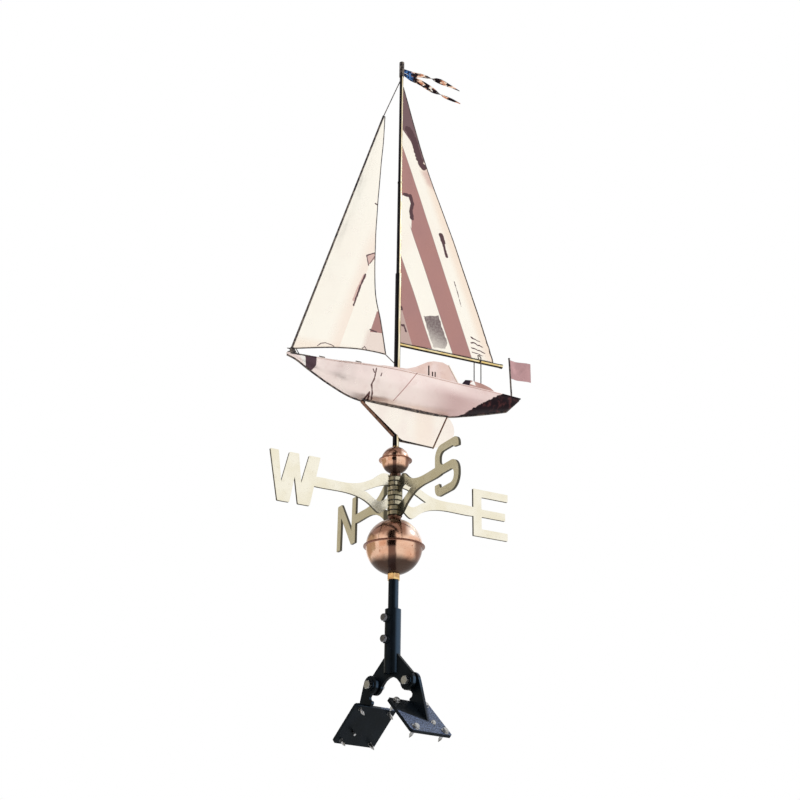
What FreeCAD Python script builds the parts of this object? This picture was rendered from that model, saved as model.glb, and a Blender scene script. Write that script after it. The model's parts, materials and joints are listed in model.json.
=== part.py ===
import FreeCAD, Part
import math
import os
from FreeCAD import Vector

# Yacht weather vane on a ridge mount. Millimetres, +Z up.
# The origin is the point under the pole where the two roof planes would meet.
# The mount's feet stand along +Y and -Y and the roof ridge runs along X.

# ---- driving dimensions ----
ROOF_PITCH = 45.0          # slope the two feet are set to
COMPASS_TURN = -14.5       # east arm, measured from +X
YACHT_TURN = -18.3         # stern of the yacht, measured from +X

SOCKET_R = 15.0            # ridge bracket tube, outside
SOCKET_BORE_R = 9.675
SOCKET_BOTTOM = 17.6
SOCKET_TOP = 135.0
WING_T = 6.0               # bracket plate
PIVOT_Y = 42.0             # foot bolts, each side of the pole
PIVOT_BOLT_R = 4.7625      # 3/8 inch bolt
PIVOT_HOLE_R = 4.82
WEB_NEAR = 10.0            # the foot's upright web starts this far from the bracket's middle plane
WEB_T = 6.0
EAR_R = 17.0
FOOT_T = 6.0               # sloping base plate
FOOT_W = 98.0
FOOT_L = 86.0
FOOT_START = 26.0          # plate's upper edge, down the slope from the bolt
LAG_SPACING = 70.0         # lag screws stand on a square
LAG_R = 3.0
LAG_SHOULDER_R = 3.4
LAG_HOLE_R = 3.5
LAG_LENGTH = 16.0          # below the plate
TOE_SCREW = (22.5, 82.0)   # fifth, thinner screw beside the toe of the web
TOE_SCREW_R = 2.4
FOOT_CORNER = 3.0          # the plate's corners are cut off this far along each edge
PIVOT_HEX = 14.3           # bolt heads and nuts, across flats
WASHER_T = 1.6
SET_SCREW_Z = (78.0, 117.0)
GAP = 0.1                  # play beside the feet and the compass hub

POLE_R = 9.6               # 3/4 inch pole
POLE_BOTTOM = 30.0
POLE_TOP = 206.0
ROD_R = 6.35               # spindle rod through the balls and the compass arms
SPINDLE_R = 4.75           # slim top of the rod, inside the yacht's sleeve
SPINDLE_TOP = 820.0
BIG_BALL_R = 53.6
BIG_BALL_Z = 255.0
BIG_FLANGE_R = 58.6
SMALL_BALL_R = 27.5
SMALL_BALL_Z = 428.6
SMALL_FLANGE_R = 32.4
BALL_WALL = 0.9

HUB_BOTTOM = 315.0         # four stacked eyes of the two compass castings
EYE_H = 19.5
EYE_R = 14.5
EYE_BORE_R = 6.4
ARM_Z = HUB_BOTTOM + 2 * EYE_H
CASTING_T = 5.0

SLEEVE_R = 6.35            # tube through the keel that carries the yacht and is the foot of the mast
SLEEVE_BORE_R = 4.81
SLEEVE_BOTTOM = 457.4
SLEEVE_TOP = 838.0
MAST_MID_R = 4.75
MAST_MID_TOP = 1065.0
MAST_UP_R = 4.25
MAST_UP_TOP = 1352.5
CAP_BOTTOM = 1347.5
CAP_R = 5.6
MAST_TOP = 1386.0
PENNANT_SLOT = (1353.0, 1376.0)
HULL_T = 1.0
DECK_T = 1.0
BOOM_Z = 680.6
BOOM_R = 4.4
SHEET_T = 0.8              # sails, keel skins, flag and pennant

os.makedirs("parts", exist_ok=True)


# ---- helpers ----
def save(name, shape):
    shape.exportStep("parts/" + name + ".step")


def cyl(r, z0, z1, x=0.0, y=0.0):
    return Part.makeCylinder(r, z1 - z0, Vector(x, y, z0))


def tube(r_out, r_in, z0, z1, x=0.0, y=0.0):
    return cyl(r_out, z0, z1, x, y).cut(cyl(r_in, z0 - 1, z1 + 1, x, y))


def rod(start, end, r):
    a = Vector(*start)
    b = Vector(*end)
    return Part.makeCylinder(r, (b - a).Length, a, b - a)


def bent_rod(points, r):
    """Round wire through points, with a ball at every bend."""
    shape = rod(points[0], points[1], r)
    for i in range(1, len(points) - 1):
        shape = shape.fuse(Part.makeSphere(r, Vector(*points[i])))
        shape = shape.fuse(rod(points[i], points[i + 1], r))
    return shape


def hexagon(flats, z0, z1, turn=0.0):
    r = flats / math.sqrt(3.0)
    corners = []
    for k in range(7):
        angle = math.radians(60.0 * k + turn)
        corners.append(Vector(r * math.cos(angle), r * math.sin(angle), z0))
    return Part.Face(Part.makePolygon(corners)).extrude(Vector(0, 0, z1 - z0))


def rounded_wire(corners):
    """Closed outline of (x, z, radius) corners, drawn in the XZ plane."""
    edges = []
    starts = []
    ends = []
    middles = []
    n = len(corners)
    for i in range(n):
        x, z, radius = corners[i]
        here = Vector(x, 0, z)
        before = Vector(corners[i - 1][0], 0, corners[i - 1][1]) - here
        after = Vector(corners[(i + 1) % n][0], 0, corners[(i + 1) % n][1]) - here
        if radius <= 0:
            starts.append(here)
            ends.append(here)
            middles.append(None)
            continue
        half = before.getAngle(after) / 2.0
        reach = radius / math.tan(half)
        before.normalize()
        after.normalize()
        centre = here + (before + after).normalize() * (radius / math.sin(half))
        starts.append(here + before * reach)
        ends.append(here + after * reach)
        middles.append(centre + (here - centre).normalize() * radius)
    for i in range(n):
        if middles[i] is not None:
            edges.append(Part.Arc(starts[i], middles[i], ends[i]).toShape())
        step = starts[(i + 1) % n] - ends[i]
        if step.Length > 1e-6:
            edges.append(Part.LineSegment(ends[i], starts[(i + 1) % n]).toShape())
    return Part.Wire(edges)


def slab(corners, thickness, y=0.0):
    """Flat plate in the XZ plane, centred on y."""
    full = [c if len(c) == 3 else (c[0], c[1], 0.0) for c in corners]
    face = Part.Face(rounded_wire(full))
    face.translate(Vector(0, y - thickness / 2.0, 0))
    return face.extrude(Vector(0, thickness, 0))


def spline_edge(points):
    curve = Part.BSplineCurve()
    curve.interpolate([Vector(x, 0, z) for x, z in points])
    return curve.toShape()


def line_edge(a, b):
    return Part.LineSegment(Vector(a[0], 0, a[1]), Vector(b[0], 0, b[1])).toShape()


def curved_slab(runs, thickness, y=0.0):
    """Plate bounded by runs of points: two points make a straight run, more make a smooth curve."""
    edges = []
    for run in runs:
        if len(run) == 2:
            edges.append(line_edge(run[0], run[1]))
        else:
            edges.append(spline_edge(run))
    face = Part.Face(Part.Wire(edges))
    face.translate(Vector(0, y - thickness / 2.0, 0))
    return face.extrude(Vector(0, thickness, 0))


def turned(shape, angle):
    out = shape.copy()
    out.rotate(Vector(0, 0, 0), Vector(0, 0, 1), angle)
    return out


def in_yacht(shape):
    return turned(shape, YACHT_TURN)


def plate_yz(points, x0, x1):
    """Prism between x0 and x1 from (y, z) corners."""
    ring = [Vector(x0, y, z) for y, z in points]
    ring.append(ring[0])
    return Part.Face(Part.makePolygon(ring)).extrude(Vector(x1 - x0, 0, 0))


def along_x(r, x0, x1, y, z):
    return Part.makeCylinder(r, x1 - x0, Vector(x0, y, z), Vector(1, 0, 0))


# ---- ridge bracket: tube with two welded wings ----
def bracket():
    outline = [(15, 52), (57, 12), (60, 0), (42, -17), (25, -3)]
    arch = [(16, 6), (8, 10), (0, 11.5)]
    half = outline + arch
    mirrored = [(-y, z) for y, z in reversed(half[:-1])]
    wings = plate_yz(half + mirrored, -WING_T / 2, WING_T / 2)
    for side in (-1, 1):
        tip = along_x(EAR_R, -WING_T / 2, WING_T / 2, side * PIVOT_Y, 0)
        low = Part.makeBox(40, 60, 60, Vector(-20, side * PIVOT_Y - 30 + side * 26, -46))
        wings = wings.cut(low.cut(along_x(EAR_R, -30, 30, side * PIVOT_Y, 0)))
        wings = wings.fuse(tip)
        wings = wings.cut(along_x(PIVOT_BOLT_R, -10, 10, side * PIVOT_Y, 0))
    wings = wings.cut(cyl(SOCKET_R - 1, SOCKET_BOTTOM, SOCKET_TOP))
    shell = cyl(SOCKET_R, SOCKET_BOTTOM, SOCKET_TOP).fuse(wings)
    shell = shell.cut(cyl(SOCKET_BORE_R, SOCKET_BOTTOM, SOCKET_TOP + 1))
    for z in SET_SCREW_Z:
        shell = shell.cut(along_x(4.0, -30, 0, 0, z))
    return shell.removeSplitter()


def hex_along_x(flats, x0, x1, y, z):
    shape = hexagon(flats, 0, x1 - x0, 30.0)
    shape.rotate(Vector(0, 0, 0), Vector(0, 1, 0), 90.0)
    shape.translate(Vector(x0, y, z))
    return shape


def chamfered_hex_x(flats, x0, x1, y, z, outer):
    """Hexagon head with its outer corners turned down. outer is +1 or -1 along X."""
    body = hex_along_x(flats, x0, x1, y, z)
    big = flats / math.sqrt(3.0)
    length = x1 - x0
    cone = Part.makeCone(big + length - 1.2, big - 1.2, length, Vector(x0, y, z), Vector(1, 0, 0))
    if outer < 0:
        cone = Part.makeCone(big + length - 1.2, big - 1.2, length, Vector(x1, y, z), Vector(-1, 0, 0))
    return body.common(cone)


save("ridge_bracket", bracket())

weld_nuts = []
set_screws = []
for z in SET_SCREW_Z:
    nut = hex_along_x(15.0, -19.5, -14.2, 0, z).cut(along_x(4.0, -30, 0, 0, z))
    weld_nuts.append(nut.cut(cyl(SOCKET_R, 0, 200)))
    head = chamfered_hex_x(12.7, -26.0, -20.5, 0, z, -1)
    set_screws.append(head.fuse(along_x(4.0, -20.5, -10.0, 0, z)))
save("socket_weld_nuts", Part.makeCompound(weld_nuts))
save("socket_set_screws", Part.makeCompound(set_screws))


# ---- feet: sloping plate with an upright web that pivots on the bracket ----
def foot_frame(shape):
    """From foot coordinates (x, height above roof, down the slope from the bolt) to the near side."""
    out = shape.copy()
    out.rotate(Vector(0, 0, 0), Vector(1, 0, 0), ROOF_PITCH)
    start = PIVOT_Y * math.cos(math.radians(ROOF_PITCH))
    down = math.radians(ROOF_PITCH)
    out.translate(Vector(0, -start * math.cos(down), -start * math.sin(down)))
    return out


def foot_box(x0, x1, a0, a1, h0, h1):
    """Box in foot coordinates, a measured down the slope and h up from the roof."""
    return Part.makeBox(x1 - x0, a1 - a0, h1 - h0, Vector(x0, -a1, h0))


PIVOT_H = PIVOT_Y * math.sin(math.radians(ROOF_PITCH))
FOOT_MID = FOOT_START + FOOT_L / 2
LAG_PLACES = [(x * LAG_SPACING / 2, FOOT_MID + a * LAG_SPACING / 2) for x in (-1, 1) for a in (-1, 1)]


def foot():
    plate = foot_box(-FOOT_W / 2, FOOT_W / 2, FOOT_START, FOOT_START + FOOT_L, 0, FOOT_T)
    side = FOOT_CORNER * math.sqrt(2.0)
    for sx in (-1, 1):
        for sa in (-1, 1):
            corner = Part.makeBox(side, side, FOOT_T + 2, Vector(-side / 2, -side / 2, -1))
            corner.rotate(Vector(0, 0, 0), Vector(0, 0, 1), 45.0)
            corner.translate(Vector(sx * FOOT_W / 2, -(FOOT_MID + sa * FOOT_L / 2), 0))
            plate = plate.cut(corner)
    # The web's lower edge is let 2 mm into the plate.
    low = FOOT_T - 2.0
    outline = [
        (10.5, PIVOT_H + 14.0), (80.0, FOOT_T), (78.0, low), (27.0, low), (26.0, 1.0), (20.0, 1.0),
        (16.5, 4.0), (18.5, 11.0), (16.0, 15.0), (10.5, PIVOT_H - 14.0), (0.0, PIVOT_H),
    ]
    web = plate_yz([(-a, h) for a, h in outline], WEB_NEAR, WEB_NEAR + WEB_T)
    web = web.fuse(along_x(EAR_R, WEB_NEAR, WEB_NEAR + WEB_T, 0, PIVOT_H))
    shape = plate.fuse(web)
    shape = shape.cut(along_x(PIVOT_HOLE_R, 0, 40, 0, PIVOT_H))
    for x, a in LAG_PLACES:
        shape = shape.cut(Part.makeCylinder(LAG_HOLE_R, 30, Vector(x, -a, -10)))
    shape = shape.cut(Part.makeCylinder(TOE_SCREW_R + 0.1, 30, Vector(TOE_SCREW[0], -TOE_SCREW[1], -10)))
    return foot_frame(shape.removeSplitter())


def lag_screws():
    screws = []
    for x, a in LAG_PLACES:
        here = Vector(x, -a, 0)
        flange = Part.makeCylinder(7.0, 1.6, here + Vector(0, 0, FOOT_T))
        head = hexagon(10.0, FOOT_T + 1.6, FOOT_T + 6.2).common(
            Part.makeSphere(7.2, Vector(0, 0, FOOT_T + 0.4))
        )
        head.translate(here)
        shoulder = Part.makeCylinder(LAG_SHOULDER_R, FOOT_T, here)
        shank = Part.makeCylinder(LAG_R, LAG_LENGTH - 6.0, here - Vector(0, 0, LAG_LENGTH - 6.0))
        point = Part.makeCone(0.6, LAG_R, 6.0, here - Vector(0, 0, LAG_LENGTH))
        screws.append(foot_frame(flange.fuse([head, shoulder, shank, point])))
    here = Vector(TOE_SCREW[0], -TOE_SCREW[1], 0)
    dome = Part.makeSphere(5.6, here + Vector(0, 0, FOOT_T - 1.2))
    dome = dome.common(Part.makeCylinder(5.5, 5.0, here + Vector(0, 0, FOOT_T)))
    shank = Part.makeCylinder(TOE_SCREW_R, FOOT_T + LAG_LENGTH - 6.0, here - Vector(0, 0, LAG_LENGTH - 6.0))
    screws.append(foot_frame(dome.fuse(shank)))
    return Part.makeCompound(screws)


near_foot = foot()
near_lags = lag_screws()
save("near_foot", near_foot)
save("far_foot", turned(near_foot, 180.0))
save("near_lag_screws", near_lags)
save("far_lag_screws", turned(near_lags, 180.0))


def ring_x(r_out, r_in, x0, x1, y):
    return along_x(r_out, x0, x1, y, 0).cut(along_x(r_in, x0 - 1, x1 + 1, y, 0))


# The bolts run through from -X on both sides; only the order of parts on them differs.
WEB_FAR = WEB_NEAR + WEB_T
near_y = -PIVOT_Y
far_y = PIVOT_Y
near_spacer = ring_x(9.0, PIVOT_BOLT_R, WING_T / 2, WEB_NEAR - GAP, near_y)
far_spacer = ring_x(9.0, PIVOT_BOLT_R, -WEB_NEAR + GAP, -WING_T / 2, far_y)
save("pivot_spacers", Part.makeCompound([near_spacer, far_spacer]))
washers = [
    ring_x(11.0, PIVOT_BOLT_R, -WING_T / 2 - WASHER_T, -WING_T / 2, near_y),
    ring_x(12.5, PIVOT_BOLT_R, WEB_FAR + GAP, WEB_FAR + GAP + WASHER_T, near_y),
    ring_x(11.0, PIVOT_BOLT_R, -WEB_FAR - GAP - WASHER_T, -WEB_FAR - GAP, far_y),
    ring_x(12.5, PIVOT_BOLT_R, WING_T / 2, WING_T / 2 + WASHER_T, far_y),
]
save("pivot_washers", Part.makeCompound(washers))


def pivot_bolt(head_x, end_x, y):
    head = chamfered_hex_x(PIVOT_HEX, head_x - 6.2, head_x, y, 0, -1)
    return head.fuse(along_x(PIVOT_BOLT_R, head_x, end_x, y, 0))


near_head = -WING_T / 2 - WASHER_T
far_head = -WEB_FAR - GAP - WASHER_T
near_nut = WEB_FAR + GAP + WASHER_T
far_nut = WING_T / 2 + WASHER_T
save("pivot_bolts", Part.makeCompound([
    pivot_bolt(near_head, near_nut + 12.0, near_y),
    pivot_bolt(far_head, far_nut + 12.0, far_y),
]))
nuts = []
for x, y in ((near_nut, near_y), (far_nut, far_y)):
    nut = chamfered_hex_x(PIVOT_HEX, x, x + 8.3, y, 0, 1)
    nuts.append(nut.cut(along_x(PIVOT_BOLT_R, x - 1, x + 12, y, 0)))
save("pivot_nuts", Part.makeCompound(nuts))

# ---- pole, collar, balls and spindle rod ----
save("pole", tube(POLE_R, ROD_R, POLE_BOTTOM, POLE_TOP))
collar = hexagon(22.6, 190.5, 202.0, 47.0).cut(cyl(POLE_R, 180, 210))
collar = collar.common(Part.makeSphere(13.5, Vector(0, 0, 196.25)))
save("collar_nut", collar)

spindle = cyl(ROD_R, 40.0, 409.0)
spindle = spindle.fuse(cyl(SPINDLE_R, 409.0, SPINDLE_TOP - 3.0))
spindle = spindle.fuse(Part.makeCone(SPINDLE_R, 2.6, 3.0, Vector(0, 0, SPINDLE_TOP - 3.0)))
spindle = spindle.cut(Part.makeSphere(3.0, Vector(0, 0, SPINDLE_TOP + 1.5)))
save("spindle_rod", spindle)
save("bearing_ball", Part.makeSphere(3.0, Vector(0, 0, SPINDLE_TOP + 1.5)))


def ball_half(z, r, flange_r, upper, holes):
    """Spun half ball with a turned-out rim. holes is the (bottom, top) hole radius."""
    shell = Part.makeSphere(r, Vector(0, 0, z)).cut(Part.makeSphere(r - BALL_WALL, Vector(0, 0, z)))
    side = 1 if upper else -1
    keep = cyl(r + 20, z, z + r + 5) if upper else cyl(r + 20, z - r - 5, z)
    shell = shell.common(keep)
    low, high = (z, z + 0.8) if upper else (z - 0.8, z)
    rim = tube(flange_r, r - BALL_WALL, low, high)
    root = Part.makeTorus(r + 1.9, 2.6, Vector(0, 0, z + side * 2.9))
    fillet = tube(r + 1.9, r - 0.3, *sorted((z, z + side * 2.6))).cut(root)
    shell = shell.fuse(rim).fuse(fillet)
    hole = holes[1] if upper else holes[0]
    span = (z, z + r + 5) if upper else (z - r - 5, z)
    return shell.cut(cyl(hole, *span)).removeSplitter()


for name, z, r, flange, holes in (
    ("large_ball", BIG_BALL_Z, BIG_BALL_R, BIG_FLANGE_R, (POLE_R, ROD_R)),
    ("small_ball", SMALL_BALL_Z, SMALL_BALL_R, SMALL_FLANGE_R, (ROD_R, SPINDLE_R)),
):
    save(name + "_lower", ball_half(z, r, flange, False, holes))
    save(name + "_upper", ball_half(z, r, flange, True, holes))

lower_nut = Part.makeCone(11.0, 13.4, 4.0, Vector(0, 0, 308.7)).fuse(cyl(13.4, 312.7, HUB_BOTTOM - GAP))
save("lower_lock_nut", lower_nut.cut(cyl(ROD_R, 300, 320)))
hub_top = HUB_BOTTOM + 4 * EYE_H
upper_nut = hexagon(19.0, hub_top + GAP, 401.0, 12.0).cut(cyl(ROD_R, 390, 410))
save("upper_lock_nut", upper_nut)
save("spindle_washer", tube(6.2, SPINDLE_R, 456.2, 457.2))


# ---- compass castings: two identical double arms, the second turned over ----
def arm(reach, flip):
    """Forked arm from the hub to its letter, along +X, about height 0."""
    f = -1.0 if flip else 1.0
    h = EYE_H
    upper = [(9, 2 * h), (18, 43), (30, 42), (45, 31), (60, 21.5), (85, 12), (110, 9.3), (reach, 9)]
    lower = [(reach, -9), (110, -9.6), (85, -12.5), (62, -20.5), (46, -32), (35, -38), (24, -32), (9, -h)]
    low_in = [(9, -1.0), (24, -10), (36, -15), (50, -9), (68, 0)]
    high_in = [(68, 0), (56, 6), (42, 13), (28, 18.5), (9, h + 1)]
    flat = [[(x, f * z) for x, z in run] for run in (upper, lower, low_in, high_in)]
    runs = [
        flat[0],
        [flat[0][-1], flat[1][0]],
        flat[1],
        [flat[1][-1], flat[2][0]],
        flat[2],
        flat[3],
        [flat[3][-1], flat[0][0]],
    ]
    return curved_slab(runs, CASTING_T)


LETTER_E = [
    (176, -49, 1), (256, -49, 1), (256, -33.5, 1), (195, -33.5, 2), (195, -8, 2), (251, -8, 1),
    (251, 7.5, 1), (195, 7.5, 2), (195, 33, 2), (258, 33, 1), (258, 48.5, 1), (176, 48.5, 1),
]
LETTER_W = [
    (161, 48.5, 1), (184, 48.5, 1), (198, -8, 0), (205, 48.5, 2), (224, 48.5, 2), (238, -12, 0),
    (246, 48.5, 1), (263, 48.5, 1), (244, -49, 2), (220, -49, 2), (211.5, 2, 0), (203, -49, 2), (179, -49, 2),
]
LETTER_N = [
    (163, -49, 1), (181, -49, 1), (229, 20, 0), (230, -49, 1), (246, -49, 1), (246, 48.5, 1),
    (228, 48.5, 1), (180, -20, 0), (179, 48.5, 1), (163, 48.5, 1),
]
LETTER_S = [
    (156, 48.5, 22), (239, 48.5, 16), (239, 28, 0), (222, 30, 0), (219, 34, 2), (173, 34, 11), (173, 8, 11),
    (238, 8, 26), (238, -49, 26), (156, -49, 18), (156, -25, 0), (171, -25, 0), (174, -34, 3),
    (222, -34, 12), (222, -8.5, 11), (156, -8.5, 24),
]


def casting(right, right_reach, left, left_reach, flip):
    """Double arm with two hub eyes. right lies along +X and left along -X."""
    right_arm = arm(right_reach, flip)
    left_arm = arm(left_reach, flip)
    left_arm = left_arm.mirror(Vector(0, 0, 0), Vector(1, 0, 0))
    right_letter = slab(right, CASTING_T)
    left_letter = slab(left, CASTING_T).mirror(Vector(0, 0, 0), Vector(1, 0, 0))
    shape = right_arm.fuse([left_arm, right_letter, left_letter])
    levels = (-2, 0) if flip else (-1, 1)
    shape = shape.cut(cyl(EYE_R - 1.0, -60, 60))
    for level in levels:
        eye = cyl(EYE_R, level * EYE_H, (level + 1) * EYE_H)
        shape = shape.fuse(eye)
    gaps = (-1, 1) if flip else (-2, 0)
    for level in gaps:
        z0 = level * EYE_H
        shape = shape.cut(cyl(EYE_R + 0.6, z0, z0 + EYE_H))
    shape = shape.cut(cyl(EYE_BORE_R, -60, 60))
    shape.translate(Vector(0, 0, ARM_Z))
    return shape


east_west = casting(LETTER_E, 179.0, LETTER_W, 176.0, False)
north_south = casting(LETTER_N, 166.0, LETTER_S, 177.0, True)
GRUB_R = 1.6


def grub(angle, level):
    """Small set screw in one eye, pointing at the rod."""
    z = HUB_BOTTOM + (level + 0.5) * EYE_H
    turn = math.radians(angle)
    outer = EYE_R - 0.6
    inner = ROD_R + 0.4
    start = (outer * math.cos(turn), outer * math.sin(turn), z)
    end = (inner * math.cos(turn), inner * math.sin(turn), z)
    return rod(start, end, GRUB_R)


def grub_hole(angle, level):
    z = HUB_BOTTOM + (level + 0.5) * EYE_H
    turn = math.radians(angle)
    start = (20 * math.cos(turn), 20 * math.sin(turn), z)
    return rod(start, (0, 0, z), GRUB_R)


ew_grubs = [grub(-128.0, level) for level in (1, 3)]
ns_grubs = [grub(-128.0, level) for level in (0, 2)]
for level in (1, 3):
    east_west = east_west.cut(grub_hole(-128.0, level))
north_south = turned(north_south, 90.0)
for level in (0, 2):
    north_south = north_south.cut(grub_hole(-128.0, level))
save("casting_east_west", turned(east_west, COMPASS_TURN))
save("casting_north_south", turned(north_south, COMPASS_TURN))
save("casting_set_screws", turned(Part.makeCompound(ew_grubs + ns_grubs), COMPASS_TURN))

# ---- yacht, drawn with the bow along -X and then turned ----
sleeve = cyl(SLEEVE_R, SLEEVE_BOTTOM, SLEEVE_TOP)
sleeve = sleeve.cut(cyl(SLEEVE_BORE_R, SLEEVE_BOTTOM - 1, SPINDLE_TOP + 5.0))
save("spindle_sleeve", in_yacht(sleeve))
mast_mid = tube(MAST_MID_R, MAST_MID_R - 0.9, SLEEVE_TOP, MAST_MID_TOP)
mast_mid = mast_mid.fuse(tube(SLEEVE_R, MAST_MID_R - 0.9, SLEEVE_TOP, SLEEVE_TOP + 4.0))
save("mast_lower", in_yacht(mast_mid))
mast_up = tube(MAST_UP_R, MAST_UP_R - 0.8, MAST_MID_TOP, MAST_UP_TOP)
mast_up = mast_up.fuse(tube(MAST_MID_R + 0.5, MAST_UP_R - 0.8, MAST_MID_TOP, MAST_MID_TOP + 3.0))
save("mast_upper", in_yacht(mast_up))
slot = Part.makeBox(2 * CAP_R, SHEET_T + 0.2, PENNANT_SLOT[1] - PENNANT_SLOT[0])
slot.translate(Vector(0, -(SHEET_T + 0.2) / 2, PENNANT_SLOT[0]))
cap = cyl(CAP_R, CAP_BOTTOM, MAST_TOP).cut(cyl(MAST_UP_R, CAP_BOTTOM - 1, MAST_UP_TOP)).cut(slot)
save("mast_cap", in_yacht(cap))

# Hull sections: station, half beam, keel height, sheer height.
STATIONS = [
    (-234.0, 1.5, 607.0, 611.0),
    (-214.0, 5.0, 600.0, 610.0),
    (-185.0, 9.5, 583.0, 609.0),
    (-141.0, 17.0, 560.5, 607.5),
    (-96.0, 28.0, 543.5, 606.5),
    (-40.0, 38.0, 537.5, 605.0),
    (30.0, 42.0, 536.5, 603.0),
    (106.0, 38.5, 540.5, 602.0),
    (156.0, 33.0, 551.5, 603.0),
    (200.0, 26.5, 563.5, 605.0),
    (238.0, 19.4, 574.6, 607.2),
    (252.0, 16.4, 580.0, 608.0),
    (281.0, 8.0, 606.5, 611.0),
]
HULL_LOW = 500.0           # below and above every part of the hull
HULL_HIGH = 700.0


def hull_section(x, beam, keel, sheer):
    """Section through the hull, carried straight up past the sheer so that the deck line can trim it."""
    depth = sheer - keel
    rise = [(-1.0, 1.0), (-0.93, 0.52), (-0.60, 0.20), (0.0, 0.0), (0.60, 0.20), (0.93, 0.52), (1.0, 1.0)]
    curve = Part.BSplineCurve()
    curve.interpolate([Vector(x, beam * y, keel + depth * z) for y, z in rise])
    top = sheer + 12.0
    corners = [Vector(x, beam, sheer), Vector(x, beam, top), Vector(x, -beam, top), Vector(x, -beam, sheer)]
    sides = [Part.LineSegment(a, b).toShape() for a, b in zip(corners, corners[1:])]
    return Part.Wire([curve.toShape()] + sides)


def sheer_slab(low, high, width=200.0):
    """Block whose top follows the sheer line, raised by high. low is a height, or None for DECK_T thick."""
    line = [(x, sheer + high) for x, beam, keel, sheer in STATIONS]
    start, end = line[0], line[-1]
    if low is None:
        under = [(x, z - DECK_T) for x, z in reversed(line)]
        runs = [line, [end, under[0]], under, [under[-1], start]]
        return curved_slab(runs, width)
    back = [[end, (320.0, end[1])], [(320.0, end[1]), (320.0, low)], [(320.0, low), (-280.0, low)]]
    front = [[(-280.0, low), (-280.0, start[1])], [(-280.0, start[1]), start]]
    return curved_slab([line] + back + front, width)


def deck_height(x):
    """Top of the deck at a station."""
    for a, b in zip(STATIONS, STATIONS[1:]):
        if a[0] <= x <= b[0]:
            return a[3] + (b[3] - a[3]) * (x - a[0]) / (b[0] - a[0]) + DECK_T
    raise ValueError(x)


outer_hull = Part.makeLoft([hull_section(*station) for station in STATIONS], True, False)
outer_hull = outer_hull.common(sheer_slab(HULL_LOW, 0.0))
below_deck = sheer_slab(HULL_LOW, DECK_T)


def hull():
    inner = []
    for x, beam, keel, sheer in STATIONS[1:-1]:
        inner.append(hull_section(x, beam - 1.5 * HULL_T, keel + 1.6 * HULL_T, sheer))
    shell = outer_hull.cut(Part.makeLoft(inner, True, False))
    return shell.cut(cyl(SLEEVE_R, HULL_LOW, HULL_HIGH))


COCKPIT_X0 = 147.0
COCKPIT_X1 = 196.0
COCKPIT_W = 24.0


def deck():
    port = [Vector(x, beam, HULL_LOW) for x, beam, keel, sheer in STATIONS]
    star = [Vector(x, -beam, HULL_LOW) for x, beam, keel, sheer in reversed(STATIONS)]
    left = Part.BSplineCurve()
    left.interpolate(port)
    right = Part.BSplineCurve()
    right.interpolate(star)
    stern = Part.LineSegment(port[-1], star[0])
    bow = Part.LineSegment(star[-1], port[0])
    outline = Part.Wire([left.toShape(), stern.toShape(), right.toShape(), bow.toShape()])
    plate = Part.Face(outline).extrude(Vector(0, 0, HULL_HIGH - HULL_LOW)).common(sheer_slab(None, DECK_T))
    well = Part.makeBox(COCKPIT_X1 - COCKPIT_X0, COCKPIT_W, 60, Vector(COCKPIT_X0, -COCKPIT_W / 2, 580))
    return plate.cut(cyl(SLEEVE_R, HULL_LOW, HULL_HIGH)).cut(well)


save("hull", in_yacht(hull()))
save("deck", in_yacht(deck()))

CABIN_W = 44.0
CABIN_WALL = 1.0
PORTLIGHTS = ((59, 62, 611, 636), (67.5, 70, 611, 624), (73.5, 76, 611, 625))


def cabin():
    """Thin coach roof, low ahead of the mast and raised over the saloon, open below."""
    side = [
        (-88, 600), (-74, 610, 8), (-38, 616, 30), (12, 619, 30), (31, 627, 10), (58, 643.5, 6),
        (72, 648.2, 8), (92, 649.4, 5), (104.5, 645.5, 3), (134.5, 595), (-88, 595),
    ]
    inner = [
        (-84, 598), (-73, 609, 8), (-38, 615, 30), (12.2, 618, 30), (31.4, 626, 10), (58.4, 642.4, 6),
        (72.2, 647.1, 8), (91.7, 648.3, 5), (103.7, 644.7, 3), (136.2, 590), (-84, 590),
    ]
    shell = slab(side, CABIN_W).cut(slab(inner, CABIN_W - 2 * CABIN_WALL))
    for x0, x1, z0, z1 in PORTLIGHTS:
        shell = shell.cut(Part.makeBox(x1 - x0, 60, z1 - z0, Vector(x0, -30, z0)))
    return shell.cut(below_deck).cut(cyl(SLEEVE_R, HULL_LOW, HULL_HIGH))


save("cabin", in_yacht(cabin()))
frame = slab([(104.6, 645.8), (106.4, 647.2), (136.2, 597), (133.6, 597)], CABIN_W + 2.0)
frame = frame.cut(slab([(80, 590), (145, 590), (145, 660), (80, 660)], CABIN_W - 2.0))
save("windshield_frame", in_yacht(frame.cut(below_deck).cut(cabin())))


def mirrored_prism(half, z0, z1):
    """Upright prism whose plan is the (x, y) points and their mirror image."""
    ring = [Vector(x, y, z0) for x, y in half] + [Vector(x, -y, z0) for x, y in reversed(half)]
    ring.append(ring[0])
    return Part.Face(Part.makePolygon(ring)).extrude(Vector(0, 0, z1 - z0))


def coaming():
    """Low wall round the cockpit, open to the cabin and highest beside it."""
    outer = [(137.0, 20.0), (200.0, 17.5), (224.0, 12.0)]
    inner = [(136.0, 19.0), (200.0, 16.5), (223.0, 11.2)]
    walls = mirrored_prism(outer, 590.0, 660.0).cut(mirrored_prism(inner, 580.0, 670.0))
    side = [(137, 595), (137, 612.5), (145, 622.5), (158, 624.5, 6), (184, 622.6, 20), (207, 617, 12)]
    side += [(224, 608.5), (224, 595)]
    return walls.common(slab(side, 60.0)).cut(below_deck)


save("coaming", in_yacht(coaming()))


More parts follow.
